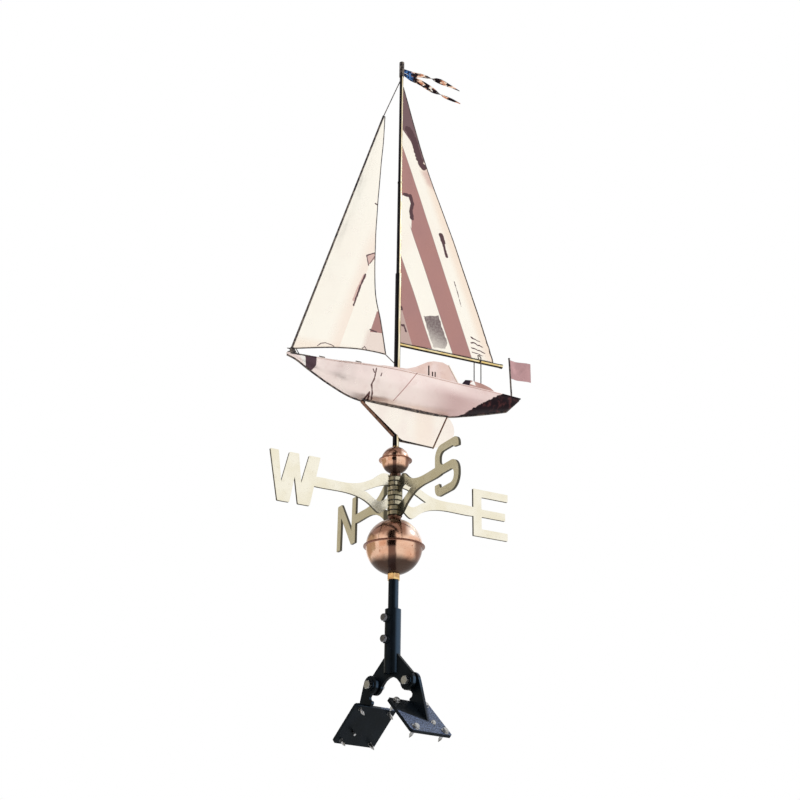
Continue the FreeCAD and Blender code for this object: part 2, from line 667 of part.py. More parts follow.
# ---- keel fin: two skins from the strut back to the rudder post ----
STRUT_TOP = (-72.0, 0.0, 537.0)
STRUT_LOW = (-7.0, 0.0, 481.0)
KEEL_SIDE = [
    (-69, 560), (-69, 535.5), (-3, 481.5), (0, 480), (3, 475, 3), (12, 471.5), (79, 469.5), (110, 540), (110, 560),
]
outer_skin = mirrored_prism([(-80, 3.9), (0, 7.2), (112, 1.2)], 440, 560)
inner_skin = mirrored_prism([(-90, 2.0), (-80, 3.1), (0, 6.4), (111, 0.45)], 430, 570)
fin = outer_skin.cut(inner_skin).common(slab(KEEL_SIDE, 40.0))
fin = fin.cut(outer_hull)
fin = fin.cut(rod(STRUT_TOP, STRUT_LOW, 3.25))
save("keel_fin", in_yacht(fin))
strut = rod((-75.0, 0.0, 539.5), STRUT_LOW, 3.25).fuse(Part.makeSphere(3.25, Vector(*STRUT_LOW)))
strut = strut.fuse(rod(STRUT_LOW, (0.0, 0.0, 477.0), 3.25))
strut = strut.cut(outer_hull).cut(cyl(SLEEVE_R, 400, 600))
save("keel_strut", in_yacht(strut))

post_top = (113.6, 0.0, 545.0)
post_low = (80.8, 0.0, 468.5)
post = rod(post_top, post_low, 1.7).cut(outer_hull)
post = post.cut(fin)
save("rudder_post", in_yacht(post))
rudder = curved_slab([
    [(114.0, 541.5), (122, 533), (128, 519), (127, 504), (116, 488), (100, 476), (84, 470.5)],
    [(84, 470.5), (82, 469.5)],
    [(82, 469.5), (112, 544)],
    [(112, 544), (114.0, 541.5)],
], 1.0)
rudder = rudder.cut(rod(post_top, post_low, 1.7)).cut(outer_hull)
rudder = rudder.cut(outer_skin.common(slab(KEEL_SIDE, 40.0)))
save("rudder", in_yacht(rudder))

# ---- rig ----
mast_space = cyl(SLEEVE_R, SLEEVE_BOTTOM, SLEEVE_TOP + 4.0)
mast_space = mast_space.fuse(cyl(MAST_MID_R, SLEEVE_TOP, MAST_MID_TOP))
mast_space = mast_space.fuse(cyl(MAST_MID_R + 0.5, MAST_MID_TOP, MAST_MID_TOP + 3.0))
mast_space = mast_space.fuse(cyl(MAST_UP_R, MAST_MID_TOP, MAST_UP_TOP))
mast_space = mast_space.fuse(cyl(CAP_R, CAP_BOTTOM, MAST_TOP))

boom = rod((3.0, 0.0, BOOM_Z), (238.0, 0.0, BOOM_Z), BOOM_R).cut(mast_space)
save("boom", in_yacht(boom))
boom_cap = rod((238.0, 0.0, BOOM_Z), (242.5, 0.0, BOOM_Z), BOOM_R + 0.6)
save("boom_cap", in_yacht(boom_cap))

foot_z = BOOM_Z + BOOM_R
mainsail = curved_slab([
    [(3.0, foot_z), (3.0, 1322.0)],
    [(3.0, 1322.0), (4.6, 1321.0)],
    [(4.6, 1321.0), (61, 1133), (127, 960), (200, 755), (219, 696)],
    [(219, 696), (221.5, foot_z)],
    [(221.5, foot_z), (3.0, foot_z)],
], SHEET_T)
mainsail = mainsail.cut(mast_space)
crutch_path = [
    (188.0, -6.0, 600.0), (189.2, -6.0, 688.0), (186.5, -2.2, 693.8), (182.0, 2.2, 693.8),
    (179.6, 6.0, 688.0), (178.6, 6.0, 600.0),
]
mainsail = mainsail.cut(bent_rod(crutch_path, 1.5))
save("mainsail", in_yacht(mainsail))

STAY_R = 2.2
stay_low = Vector(-226.5, 0.0, 617.0)
stay_high = Vector(-42.0, 0.0, 1227.0)
stay = rod(stay_low, stay_high, STAY_R)
stay_reach = (stay_high - stay_low) * 0.05
long_stay = rod(stay_low - stay_reach, stay_high + stay_reach, STAY_R)
save("jib_stay", in_yacht(stay))
jib = curved_slab([
    [(-226.5, 617.0), (-42.0, 1227.0)],
    [(-42.0, 1227.0), (-38.5, 1226.0)],
    [
        (-38.5, 1226.0), (-41, 1164), (-48, 1060), (-51.5, 990),
        (-54, 898), (-52, 792), (-39, 726), (-25.5, 655),
    ],
    [(-25.5, 655), (-26.5, 651)],
    [(-26.5, 651), (-55, 652), (-89, 650), (-138, 641.7), (-181, 631.5), (-226.5, 617.0)],
], SHEET_T)
jib = jib.cut(long_stay)
save("jib", in_yacht(jib))
forestay = rod((-42.5, 0.0, 1225.5), (-3.0, 0.0, 1336.0), 1.1).cut(stay).cut(mast_space).cut(jib)
save("forestay", in_yacht(forestay))
sheet_wire = rod((-26.4, 0.0, 652.0), (-3.0, 0.0, 634.0), 1.0).cut(jib).cut(mast_space)
save("jib_sheet_wire", in_yacht(sheet_wire))

crutch = bent_rod(crutch_path, 1.1)
cockpit_floor = Part.makeBox(80, 60, 20, Vector(150, -30, 582))
crutch = crutch.cut(rod((100.0, 0.0, BOOM_Z), (240.0, 0.0, BOOM_Z), BOOM_R))
save("boom_crutch", in_yacht(crutch.cut(coaming()).cut(cockpit_floor)))

staff = rod((264.6, 0.0, 602.0), (260.5, 0.0, 701.5), 1.8)
staff = staff.fuse(Part.makeSphere(2.3, Vector(260.4, 0, 702.5))).cut(below_deck)
save("flag_staff", in_yacht(staff))
flag = slab([(261, 699.5), (311, 699.5), (309, 657.5), (262.6, 657.0)], SHEET_T).cut(staff)
save("stern_flag", in_yacht(flag))


def bow_fitting():
    base = slab([(-234.5, 606), (-206, 606), (-206, 612.8), (-233, 614)], 6.0)
    lug = slab([(-231, 606), (-216, 606), (-218.5, 624, 2), (-227, 626, 2)], 3.0)
    half = [(-207, -4.0, 606), (-217, -3.4, 622)]
    rail = bent_rod(half + [(-233.5, 0, 621)] + [(x, -y, z) for x, y, z in reversed(half)], 0.9)
    return base.fuse([lug, rail]).cut(below_deck)


save("bow_fitting", in_yacht(bow_fitting().cut(stay).cut(jib)))

cleats = []
for x, y in ((-165, 9.5), (-165, -9.5), (-94, 24.5), (-94, -24.5)):
    z = deck_height(x)
    foot_block = Part.makeBox(5.0, 2.4, 6.0, Vector(x - 2.5, y - 1.2, z - 3.0)).cut(below_deck)
    horn = rod((x - 6.0, y, z + 3.6), (x + 6.0, y, z + 3.6), 1.1)
    cleats.append(foot_block.fuse(horn))
save("deck_cleats", in_yacht(Part.makeCompound(cleats)))


def streamer(top, bottom):
    """Tapered strip from the mast cap: matching upper and lower edges."""
    tip = top[-1]
    return curved_slab([top, [tip, bottom[-1]], list(reversed(bottom)), [bottom[0], top[0]]], SHEET_T)


upper_strip = streamer(
    [(0.5, 1371), (22, 1370), (45, 1373), (68, 1370), (95, 1367), (120, 1364), (147, 1360)],
    [(0.5, 1360), (22, 1358), (45, 1360), (68, 1359), (95, 1359), (120, 1359), (146.5, 1359)],
)
lower_strip = streamer(
    [(0.5, 1359), (8, 1357), (21, 1352), (41, 1344), (69, 1341), (90, 1340), (113, 1337), (147, 1323)],
    [(0.5, 1355), (8, 1351), (21, 1341), (41, 1334), (69, 1331), (90, 1331), (113, 1330), (146, 1321.5)],
)
save("pennant_upper", in_yacht(upper_strip.cut(cap)))
save("pennant_lower", in_yacht(lower_strip.cut(cap)))
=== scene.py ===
import json
import math

import bmesh
import bpy
from mathutils import Matrix, Vector, noise

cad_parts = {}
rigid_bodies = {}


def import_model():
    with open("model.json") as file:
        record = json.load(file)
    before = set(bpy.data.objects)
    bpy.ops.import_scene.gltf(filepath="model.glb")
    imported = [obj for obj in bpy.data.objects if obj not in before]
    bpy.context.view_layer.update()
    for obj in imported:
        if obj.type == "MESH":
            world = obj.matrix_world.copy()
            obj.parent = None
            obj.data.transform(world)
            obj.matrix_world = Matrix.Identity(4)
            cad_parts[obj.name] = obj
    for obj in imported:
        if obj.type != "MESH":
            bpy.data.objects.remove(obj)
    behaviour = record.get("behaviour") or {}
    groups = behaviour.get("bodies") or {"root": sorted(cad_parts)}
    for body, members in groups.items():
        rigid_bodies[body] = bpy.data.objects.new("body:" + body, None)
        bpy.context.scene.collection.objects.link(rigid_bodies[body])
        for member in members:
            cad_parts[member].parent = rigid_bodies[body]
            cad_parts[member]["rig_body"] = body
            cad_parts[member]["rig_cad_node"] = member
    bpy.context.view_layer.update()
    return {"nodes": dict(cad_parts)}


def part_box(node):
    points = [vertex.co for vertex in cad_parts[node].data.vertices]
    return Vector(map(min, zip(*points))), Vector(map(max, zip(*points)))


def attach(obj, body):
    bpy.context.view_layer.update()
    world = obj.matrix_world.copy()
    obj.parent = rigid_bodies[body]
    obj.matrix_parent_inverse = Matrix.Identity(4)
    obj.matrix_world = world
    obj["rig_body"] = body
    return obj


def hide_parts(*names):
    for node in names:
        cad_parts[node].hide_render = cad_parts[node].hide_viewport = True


# Looks of the yacht weather vane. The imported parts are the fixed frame; lengths below are in
# millimetres in the yacht's or compass's own directions until place() turns them into metres.

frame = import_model()
scene = bpy.context.scene
MM = 0.001
YACHT_TURN = math.radians(-18.3)     # bow along -s, port side along -y
COMPASS_TURN = math.radians(-14.5)
HUB_BOTTOM = 315.0     # foot of the lowest casting eye
EYE_H = 19.5
AHEAD = (0.6820, 0.7314, 0.0)      # level direction in which the main view looks
TO_RIGHT = (0.7314, -0.6820, 0.0)  # level direction that points right in the main view


# ---- shared mesh tools ----
def place(turn, s, y, z):
    """A point given along, across and above, in a frame turned about the pole, in metres."""
    c, d = math.cos(turn), math.sin(turn)
    return Vector((s * c - y * d, s * d + y * c, z)) * MM


def yacht(s, y, z):
    return place(YACHT_TURN, s, y, z)


def spline(points, t):
    """Smooth curve through points of any size, at t from 0 to the number of spans."""
    k = max(0, min(len(points) - 2, int(math.floor(t))))
    f = t - k
    a, b = points[k], points[k + 1]
    before = points[k - 1] if k > 0 else [2 * p - q for p, q in zip(a, b)]
    after = points[k + 2] if k + 2 < len(points) else [2 * q - p for p, q in zip(a, b)]
    out = []
    for p0, p1, p2, p3 in zip(before, a, b, after):
        out.append(0.5 * (2 * p1 + (p2 - p0) * f + (2 * p0 - 5 * p1 + 4 * p2 - p3) * f * f
                          + (3 * p1 - p0 - 3 * p2 + p3) * f ** 3))
    return out


def at_height(points, value, axis):
    """Point of a smooth curve where one coordinate has a value. It must rise or fall all along."""
    rising = points[-1][axis] > points[0][axis]
    low, high = 0.0, len(points) - 1.0
    for _ in range(40):
        mid = (low + high) / 2
        if (spline(points, mid)[axis] < value) == rising:
            low = mid
        else:
            high = mid
    return spline(points, (low + high) / 2)


def finish_piece(obj, body, material, replaced=(), smooth=35.0):
    """Puts a new piece on its body and its material."""
    obj.data.materials.clear()
    obj.data.materials.append(material)
    for face in obj.data.polygons:
        face.use_smooth = True
    obj.data.set_sharp_from_angle(angle=math.radians(smooth))
    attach(obj, body)
    if replaced:
        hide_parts(*replaced)


def mesh_object(name, points, faces):
    mesh = bpy.data.meshes.new(name)
    mesh.from_pydata([tuple(p) for p in points], [], faces)
    mesh.validate()
    obj = bpy.data.objects.new(name, mesh)
    scene.collection.objects.link(obj)
    return obj


def grid(name, rows, closed=False):
    """Quads between rows of points. closed joins each row's end to its start."""
    points = [p for row in rows for p in row]
    n = len(rows[0])
    faces = []
    for i in range(len(rows) - 1):
        for j in range(n if closed else n - 1):
            k = (j + 1) % n
            faces.append((i * n + j, i * n + k, (i + 1) * n + k, (i + 1) * n + j))
    return mesh_object(name, points, faces)


def edit(obj, action):
    bm = bmesh.new()
    bm.from_mesh(obj.data)
    action(bm)
    bm.to_mesh(obj.data)
    bm.free()


def weld(obj, distance):
    def action(bm):
        bmesh.ops.remove_doubles(bm, verts=bm.verts, dist=distance)
        bmesh.ops.dissolve_degenerate(bm, edges=bm.edges, dist=distance)
        bmesh.ops.recalc_face_normals(bm, faces=bm.faces)
    edit(obj, action)


def thicken(obj, thickness, offset=0.0):
    solid = obj.modifiers.new("thickness", "SOLIDIFY")
    solid.thickness = thickness * MM
    solid.offset = offset
    solid.use_even_offset = True


def lathe(name, profile, centre, segments=128):
    """Turned piece: profile is (radius, height) in mm up from centre, which is in metres."""
    rows = []
    for r, h in profile:
        ring = []
        for k in range(segments):
            a = 2 * math.pi * k / segments
            ring.append(Vector(centre) + Vector((r * math.cos(a), r * math.sin(a), h)) * MM)
        rows.append(ring)
    obj = grid(name, rows, closed=True)
    weld(obj, 2e-6)
    return obj


def arc(cx, cz, r, start, end, steps):
    """Points of a profile arc about (cx, cz), angles in degrees from the radial direction."""
    out = []
    for i in range(steps + 1):
        a = math.radians(start + (end - start) * i / steps)
        out.append((cx + r * math.cos(a), cz + r * math.sin(a)))
    return out


def pipe(name, points, r, segments):
    """Round bar along points in metres, r in mm or a function of the share of its length."""
    rows = []
    n = len(points)
    normal = None
    for i, p in enumerate(points):
        ahead = points[min(i + 1, n - 1)] - points[max(i - 1, 0)]
        ahead.normalize()
        if normal is None:
            normal = ahead.orthogonal().normalized()
        normal = (normal - ahead * normal.dot(ahead)).normalized()
        side = ahead.cross(normal)
        size = (r(i / (n - 1)) if callable(r) else r) * MM
        ring = []
        for k in range(segments):
            a = 2 * math.pi * k / segments
            ring.append(p + (normal * math.cos(a) + side * math.sin(a)) * size)
        rows.append(ring)
    obj = grid(name, rows, closed=True)

    def action(bm):
        bmesh.ops.holes_fill(bm, edges=bm.edges, sides=segments)
        bmesh.ops.recalc_face_normals(bm, faces=bm.faces)
    edit(obj, action)
    return obj


def finished_copy(node, bevel, body, material):
    """The CAD node's own shape with its machined edges broken."""
    angle = 30.0
    obj = frame["nodes"][node].copy()
    obj.data = obj.data.copy()
    obj.name = node + "_finished"
    obj.parent = None
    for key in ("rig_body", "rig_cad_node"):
        del obj[key]
    scene.collection.objects.link(obj)

    def action(bm):
        bmesh.ops.remove_doubles(bm, verts=bm.verts, dist=2e-6)
        bmesh.ops.dissolve_limit(bm, angle_limit=math.radians(0.5), verts=bm.verts, edges=bm.edges)
    edit(obj, action)
    if "custom_normal" in obj.data.attributes:
        obj.data.attributes.remove(obj.data.attributes["custom_normal"])
    mod = obj.modifiers.new("broken edges", "BEVEL")
    mod.width = bevel * MM
    mod.segments = 2
    mod.limit_method = "ANGLE"
    mod.angle_limit = math.radians(angle)
    mod.use_clamp_overlap = True
    mod.harden_normals = False
    finish_piece(obj, body, material, (node,), smooth=angle)


# ---- shader tools ----
class Paint:
    """Short names for the few shader nodes used here."""

    def __init__(self, name, turn=0.0):
        self.material = bpy.data.materials.new(name)
        self.material.use_nodes = True
        self.tree = self.material.node_tree
        self.shader = self.tree.nodes["Principled BSDF"]
        coord = self.add("ShaderNodeTexCoord")
        spin = self.add("ShaderNodeMapping")
        spin.inputs["Rotation"].default_value[2] = -turn
        spin.inputs["Scale"].default_value = (1000, 1000, 1000)
        self.link(coord.outputs["Object"], spin.inputs["Vector"])
        self.where = spin.outputs["Vector"]
        split = self.add("ShaderNodeSeparateXYZ")
        self.link(self.where, split.inputs[0])
        self.s, self.y, self.z = split.outputs
        self.flat = self.vector("MULTIPLY", self.where, (1.0, 0.0, 1.0))

    def add(self, kind):
        return self.tree.nodes.new(kind)

    def link(self, a, b):
        self.tree.links.new(a, b)

    def put(self, value, socket):
        if isinstance(value, bpy.types.NodeSocket):
            self.link(value, socket)
        else:
            socket.default_value = value

    def math(self, operation, a, b=0.0):
        node = self.add("ShaderNodeMath")
        node.operation = operation
        self.put(a, node.inputs[0])
        self.put(b, node.inputs[1])
        return node.outputs[0]

    def sum(self, *values):
        total = values[0]
        for value in values[1:]:
            total = self.math("ADD", total, value)
        return total

    def most(self, *values):
        total = values[0]
        for value in values[1:]:
            total = self.math("MAXIMUM", total, value)
        return total

    def step(self, value, low, high):
        """0 below low and 1 above high, or the other way round where low is the larger."""
        node = self.add("ShaderNodeMapRange")
        node.interpolation_type = "SMOOTHSTEP"
        self.put(value, node.inputs["Value"])
        flip = low > high
        node.inputs["From Min"].default_value = high if flip else low
        node.inputs["From Max"].default_value = low if flip else high
        node.inputs["To Min"].default_value = 1.0 if flip else 0.0
        node.inputs["To Max"].default_value = 0.0 if flip else 1.0
        return node.outputs["Result"]

    def mix(self, factor, a, b):
        node = self.add("ShaderNodeMix")
        node.data_type = "RGBA"
        self.put(factor, node.inputs["Factor"])
        for value, socket in ((a, node.inputs["A"]), (b, node.inputs["B"])):
            if not isinstance(value, bpy.types.NodeSocket):
                value = (*value, 1.0)
            self.put(value, socket)
        return node.outputs["Result"]

    def noise(self, scale, detail=3.0, stretch=(1, 1, 1)):
        """Noise whose lumps are about scale mm across, 0 to 1."""
        shape = self.add("ShaderNodeMapping")
        shape.inputs["Scale"].default_value = [1.0 / (scale * k) for k in stretch]
        self.link(self.where, shape.inputs["Vector"])
        node = self.add("ShaderNodeTexNoise")
        node.inputs["Scale"].default_value = 1.0
        node.inputs["Detail"].default_value = detail
        self.link(shape.outputs["Vector"], node.inputs["Vector"])
        return node.outputs["Fac"]

    def scaled(self, value, factor):
        return self.math("MULTIPLY", value, factor)

    def vector(self, operation, a, b):
        node = self.add("ShaderNodeVectorMath")
        node.operation = operation
        self.put(a, node.inputs[0])
        self.put(b, node.inputs["Scale" if operation == "SCALE" else 1])
        return node.outputs["Value" if operation in ("DOT_PRODUCT", "LENGTH") else "Vector"]

    def line(self, a, b):
        """Distance to one side of the line from a to b, (along, height) each, in mm."""
        run, rise = b[0] - a[0], b[1] - a[1]
        length = math.hypot(run, rise)
        return self.sum(self.scaled(self.s, rise / length), self.scaled(self.z, -run / length),
                        (run * a[1] - rise * a[0]) / length)

    def patch(self, corners, ragged=2.0, lumps=9.0, soft=0.7):
        """Patch of a second colour: a convex outline of (along, height), clockwise from the port side."""
        edges = [self.line(b, a) for a, b in zip(corners, corners[1:] + corners[:1])]
        wobble = self.scaled(self.math("SUBTRACT", self.noise(lumps, 2.0), 0.5), 4.0 * ragged)
        return self.step(self.sum(self.most(*edges), wobble), soft, -soft)

    def streak(self, points, half, ragged=0.4, lumps=8.0, soft=0.6):
        """Stroke of a second colour along (along, height) points."""
        nearest = None
        for a, b in zip(points, points[1:]):
            run = Vector((b[0] - a[0], 0.0, b[1] - a[1]))
            away = self.vector("SUBTRACT", self.flat, (a[0], 0.0, a[1]))
            share = self.vector("DOT_PRODUCT", away, run / run.length_squared)
            share = self.math("MINIMUM", self.math("MAXIMUM", share, 0.0), 1.0)
            gap = self.vector("SUBTRACT", away, self.vector("SCALE", tuple(run), share))
            gap = self.vector("LENGTH", gap, (0.0, 0.0, 0.0))
            nearest = gap if nearest is None else self.math("MINIMUM", nearest, gap)
        wobble = self.scaled(self.math("SUBTRACT", self.noise(lumps, 2.0), 0.5), 4.0 * ragged * half)
        return self.step(self.math("ADD", nearest, wobble), half + soft, half - soft)

    def bump(self, height, distance, strength):
        node = self.add("ShaderNodeBump")
        node.inputs["Strength"].default_value = strength
        node.inputs["Distance"].default_value = distance * MM
        self.put(height, node.inputs["Height"])
        self.link(node.outputs["Normal"], self.shader.inputs["Normal"])

    def set(self, colour, roughness, metallic=1.0, **more):
        if isinstance(colour, tuple):
            colour = (*colour, 1.0)
        self.put(colour, self.shader.inputs["Base Color"])
        self.put(roughness, self.shader.inputs["Roughness"])
        self.put(metallic, self.shader.inputs["Metallic"])
        for name, value in more.items():
            self.put(value, self.shader.inputs[name.replace("_", " ")])
        return self.material


CREAM = (0.985, 0.94, 0.84)
PEACH = (0.93, 0.76, 0.62)
PINK = (0.86, 0.70, 0.655)
ROSE = (0.66, 0.44, 0.395)
MAUVE = (0.46, 0.245, 0.22)
PLUM = (0.115, 0.065, 0.072)
SOOT = (0.018, 0.011, 0.014)


def sheet_bump(p, lump=38.0):
    """Hand-worked sheet: broad shallow dents under very fine polishing lines."""
    lines = p.scaled(p.noise(2.2, 3.0, (6.0, 1.0, 0.35)), 0.025)
    p.bump(p.math("ADD", p.noise(lump, 2.0), lines), 1.1, 0.55)


def sheet_roughness(p, low=0.16, high=0.34):
    return p.math("ADD", low, p.math("MULTIPLY", p.noise(26.0, 4.0), high - low))


# Mainsail, in mm: the luff runs up the mast, the leech from the boom's end to the head.
LEECH = [(221.5, 685.0), (219.0, 696.0), (200.0, 755.0), (127.0, 960.0), (61.0, 1133.0), (4.6, 1322.0)]
# Folds across the sheet, each from the boom up to the mast, as (along, height) pairs.
FOLDS = [((169.3, 685.0), (8.1, 1153.1)), ((126.4, 685.0), (22.6, 975.5)), ((77.3, 685.0), (8.1, 879.5)),
         ((33.8, 685.0), (8.8, 761.8))]


def mainsail_paint():
    p = Paint("mainsail_copper", YACHT_TURN)
    sides = [p.step(p.line(*fold), 0.6, -0.6) for fold in FOLDS]
    first = p.math("MULTIPLY", sides[0], p.math("SUBTRACT", 1.0, sides[1]))
    second = p.math("MULTIPLY", sides[2], p.math("SUBTRACT", 1.0, sides[3]))
    head = p.step(p.line((12.6, 1196.0), (70.4, 1120.0)), 0.8, -0.8)
    pale = p.mix(p.step(p.noise(110.0, 2.0), 0.35, 0.75), CREAM, (0.97, 0.90, 0.80))
    pale = p.mix(p.scaled(p.step(p.line((224.0, 676.0), (61.0, 1133.0)), -26.0, -4.0), 0.75), pale, PEACH)
    pale = p.mix(p.scaled(sides[3], 0.95), pale, (0.53, 0.376, 0.337))
    # Painted reflection: the dark colour of the bands on alternate strips between the folds and by the head.
    dark = p.mix(p.step(p.noise(90.0, 2.0), 0.3, 0.75), MAUVE, (0.43, 0.235, 0.22))
    dark = p.mix(p.scaled(head, 0.96), dark, (0.19, 0.12, 0.128))
    blush = p.patch([(51.0, 1110.0), (70.0, 1124.0), (86.0, 1071.0), (66.0, 1082.0)], 1.0, 9.0, 8.0)
    pale = p.mix(p.scaled(blush, 0.7), pale, ROSE)
    under = [(3.0, 1036.0), (12.0, 1039.0), (21.0, 1037.0), (28.0, 1015.0), (29.0, 960.0), (3.0, 1010.0)]
    under = p.patch(under, 0.3, 6.0)
    # Painted reflection bands, kept off the patch below the luff.
    banded = p.math("MULTIPLY", p.most(first, second, head), p.math("SUBTRACT", 1.0, under))
    colour = p.mix(banded, pale, dark)
    crease = p.most(*[p.step(p.math("ABSOLUTE", p.line(*fold)), 1.1, 0.4) for fold in FOLDS[:3]])
    crease = p.math("MULTIPLY", crease, p.math("SUBTRACT", 1.0, under))
    colour = p.mix(p.scaled(crease, 0.45), colour, (0.20, 0.12, 0.12))
    # Painted dark reflection: a dark sheen patch above the boom, weaker towards its lower end.
    dark_sheen_patch = p.patch([(58.0, 757.0), (93.0, 767.0), (114.0, 708.0), (109.0, 693.0), (80.0, 690.0)], 1.6, 10.0)
    fade = p.step(p.sum(p.z, p.scaled(p.s, 0.45)), 722.0, 782.0)
    dark_sheen_patch = p.math("MULTIPLY", dark_sheen_patch, p.math("ADD", 0.45, p.scaled(fade, 0.55)))
    dark_sheen_patch = p.math("MULTIPLY", dark_sheen_patch, p.math("ADD", 0.62, p.scaled(p.noise(4.0, 5.0), 0.5)))
    ripple = p.math("DIVIDE", p.math("ADD", p.z, p.scaled(p.s, 0.2)), 11.5)
    ripple = p.math("ADD", ripple, p.scaled(p.noise(22.0, 2.0), 1.6))
    ripple = p.step(p.math("ABSOLUTE", p.math("SUBTRACT", p.math("FRACT", ripple), 0.5)), 0.15, 0.08)
    clew = p.patch([(166.0, 738.0), (186.0, 738.0), (206.0, 700.0), (190.0, 692.0), (170.0, 696.0)], 3.0)
    clew = p.math("MULTIPLY", ripple, clew)
    plum = p.most(
        p.streak([(18.0, 1211.0), (31.0, 1190.0), (42.0, 1153.0), (50.0, 1129.0), (56.0, 1124.0)], 8.0, 0.25),
        p.streak([(12.5, 1041.0), (24.5, 1040.0), (30.5, 1022.0), (26.5, 1003.0), (30.0, 986.0)],
                 4.2, 0.35, 6.0),
        p.streak([(98.5, 962.0), (104.0, 944.0)], 5.2, 0.2),
        p.streak([(104.0, 940.0), (112.0, 912.0)], 3.2, 0.25),
        p.streak([(75.5, 1099.0), (84.5, 1083.0)], 2.4, 0.4),
        p.streak([(130.0, 856.0), (138.0, 831.0), (146.0, 800.0)], 0.9, 0.9, 5.0),
        p.streak([(9.0, 726.0), (15.0, 727.0), (19.0, 714.0)], 2.2, 0.6, 5.0),
        p.streak([(8.0, 768.0), (9.0, 762.0)], 2.0, 0.4),
    )
    colour = p.mix(dark_sheen_patch, colour, (0.14, 0.092, 0.10))
    colour = p.mix(clew, colour, PLUM)
    colour = p.mix(plum, colour, PLUM)
    sheet_bump(p)
    return p.set(colour, sheet_roughness(p))


# Jib: luff on the stay, leech and foot free.
JIB_LUFF = [(-225.0, 622.0), (-42.0, 1227.0)]
JIB_LEECH = [(-25.5, 652.0), (-39.0, 726.0), (-52.0, 792.0), (-54.0, 898.0), (-51.5, 990.0), (-48.0, 1060.0),
             (-41.0, 1164.0), (-38.8, 1227.0)]
JIB_FOOT = [(-225.0, 622.0), (-181.0, 632.8), (-138.0, 643.0), (-89.0, 650.8), (-55.0, 652.4), (-25.5, 652.0)]


def jib_paint():
    p = Paint("jib_copper", YACHT_TURN)
    colour = p.mix(p.step(p.noise(120.0, 2.0), 0.35, 0.75), CREAM, (0.98, 0.92, 0.82))
    fold = p.line((-125.0, 650.0), (-72.0, 830.0))
    faint = p.math("MULTIPLY", p.step(fold, -34.0, -4.0), p.step(fold, 0.7, -0.7))
    faint = p.math("MULTIPLY", faint, p.step(p.z, 1000.0, 880.0))
    colour = p.mix(p.scaled(faint, 0.62), colour, (0.93, 0.77, 0.66))
    colour = p.mix(p.scaled(p.step(p.z, 660.0, 636.0), 0.5), colour, PEACH)
    rose = p.most(
        p.patch([(-74.0, 866.0), (-53.0, 880.0), (-52.0, 868.0), (-69.0, 845.0)], 0.8, 6.0),
        p.streak([(-77.0, 818.0), (-87.0, 794.0), (-99.0, 757.0)], 3.2, 0.25),
    )
    corner = p.patch([(-66.0, 697.0), (-26.0, 699.0), (-22.0, 650.0), (-78.0, 650.0)], 1.0, 14.0, 7.0)
    triangle = p.patch([(-47.0, 744.0), (-30.0, 744.0), (-30.0, 697.0), (-61.0, 694.0)], 0.5, 8.0)
    colour = p.mix(p.scaled(rose, 0.9), colour, ROSE)
    colour = p.mix(p.scaled(corner, 0.42), colour, ROSE)
    colour = p.mix(triangle, colour, (0.43, 0.24, 0.22))
    plum = p.most(
        p.streak([(-53.0, 880.0), (-74.0, 866.5), (-69.0, 845.0)], 1.2, 0.3, 5.0),
        p.streak([(-55.0, 870.0), (-66.0, 850.0)], 0.8, 0.5, 5.0),
        p.streak([(-75.2, 822.0), (-86.0, 792.0), (-99.0, 745.0)], 1.8, 0.5, 6.0),
        p.streak([(-61.0, 699.0), (-48.0, 697.0)], 1.5, 0.5, 5.0),
        p.streak([(-172.6, 638.5), (-165.0, 646.0), (-155.9, 649.0), (-143.0, 647.5), (-138.0, 645.5)],
                 0.9, 0.4, 6.0),
        p.streak([(-77.0, 654.0), (-72.0, 659.3), (-67.5, 653.5)], 0.8, 0.4, 5.0),
        p.streak([(-57.0, 997.0), (-51.0, 996.0)], 1.6, 0.3, 5.0),
    )
    colour = p.mix(plum, colour, PLUM)
    sheet_bump(p)
    return p.set(colour, sheet_roughness(p))


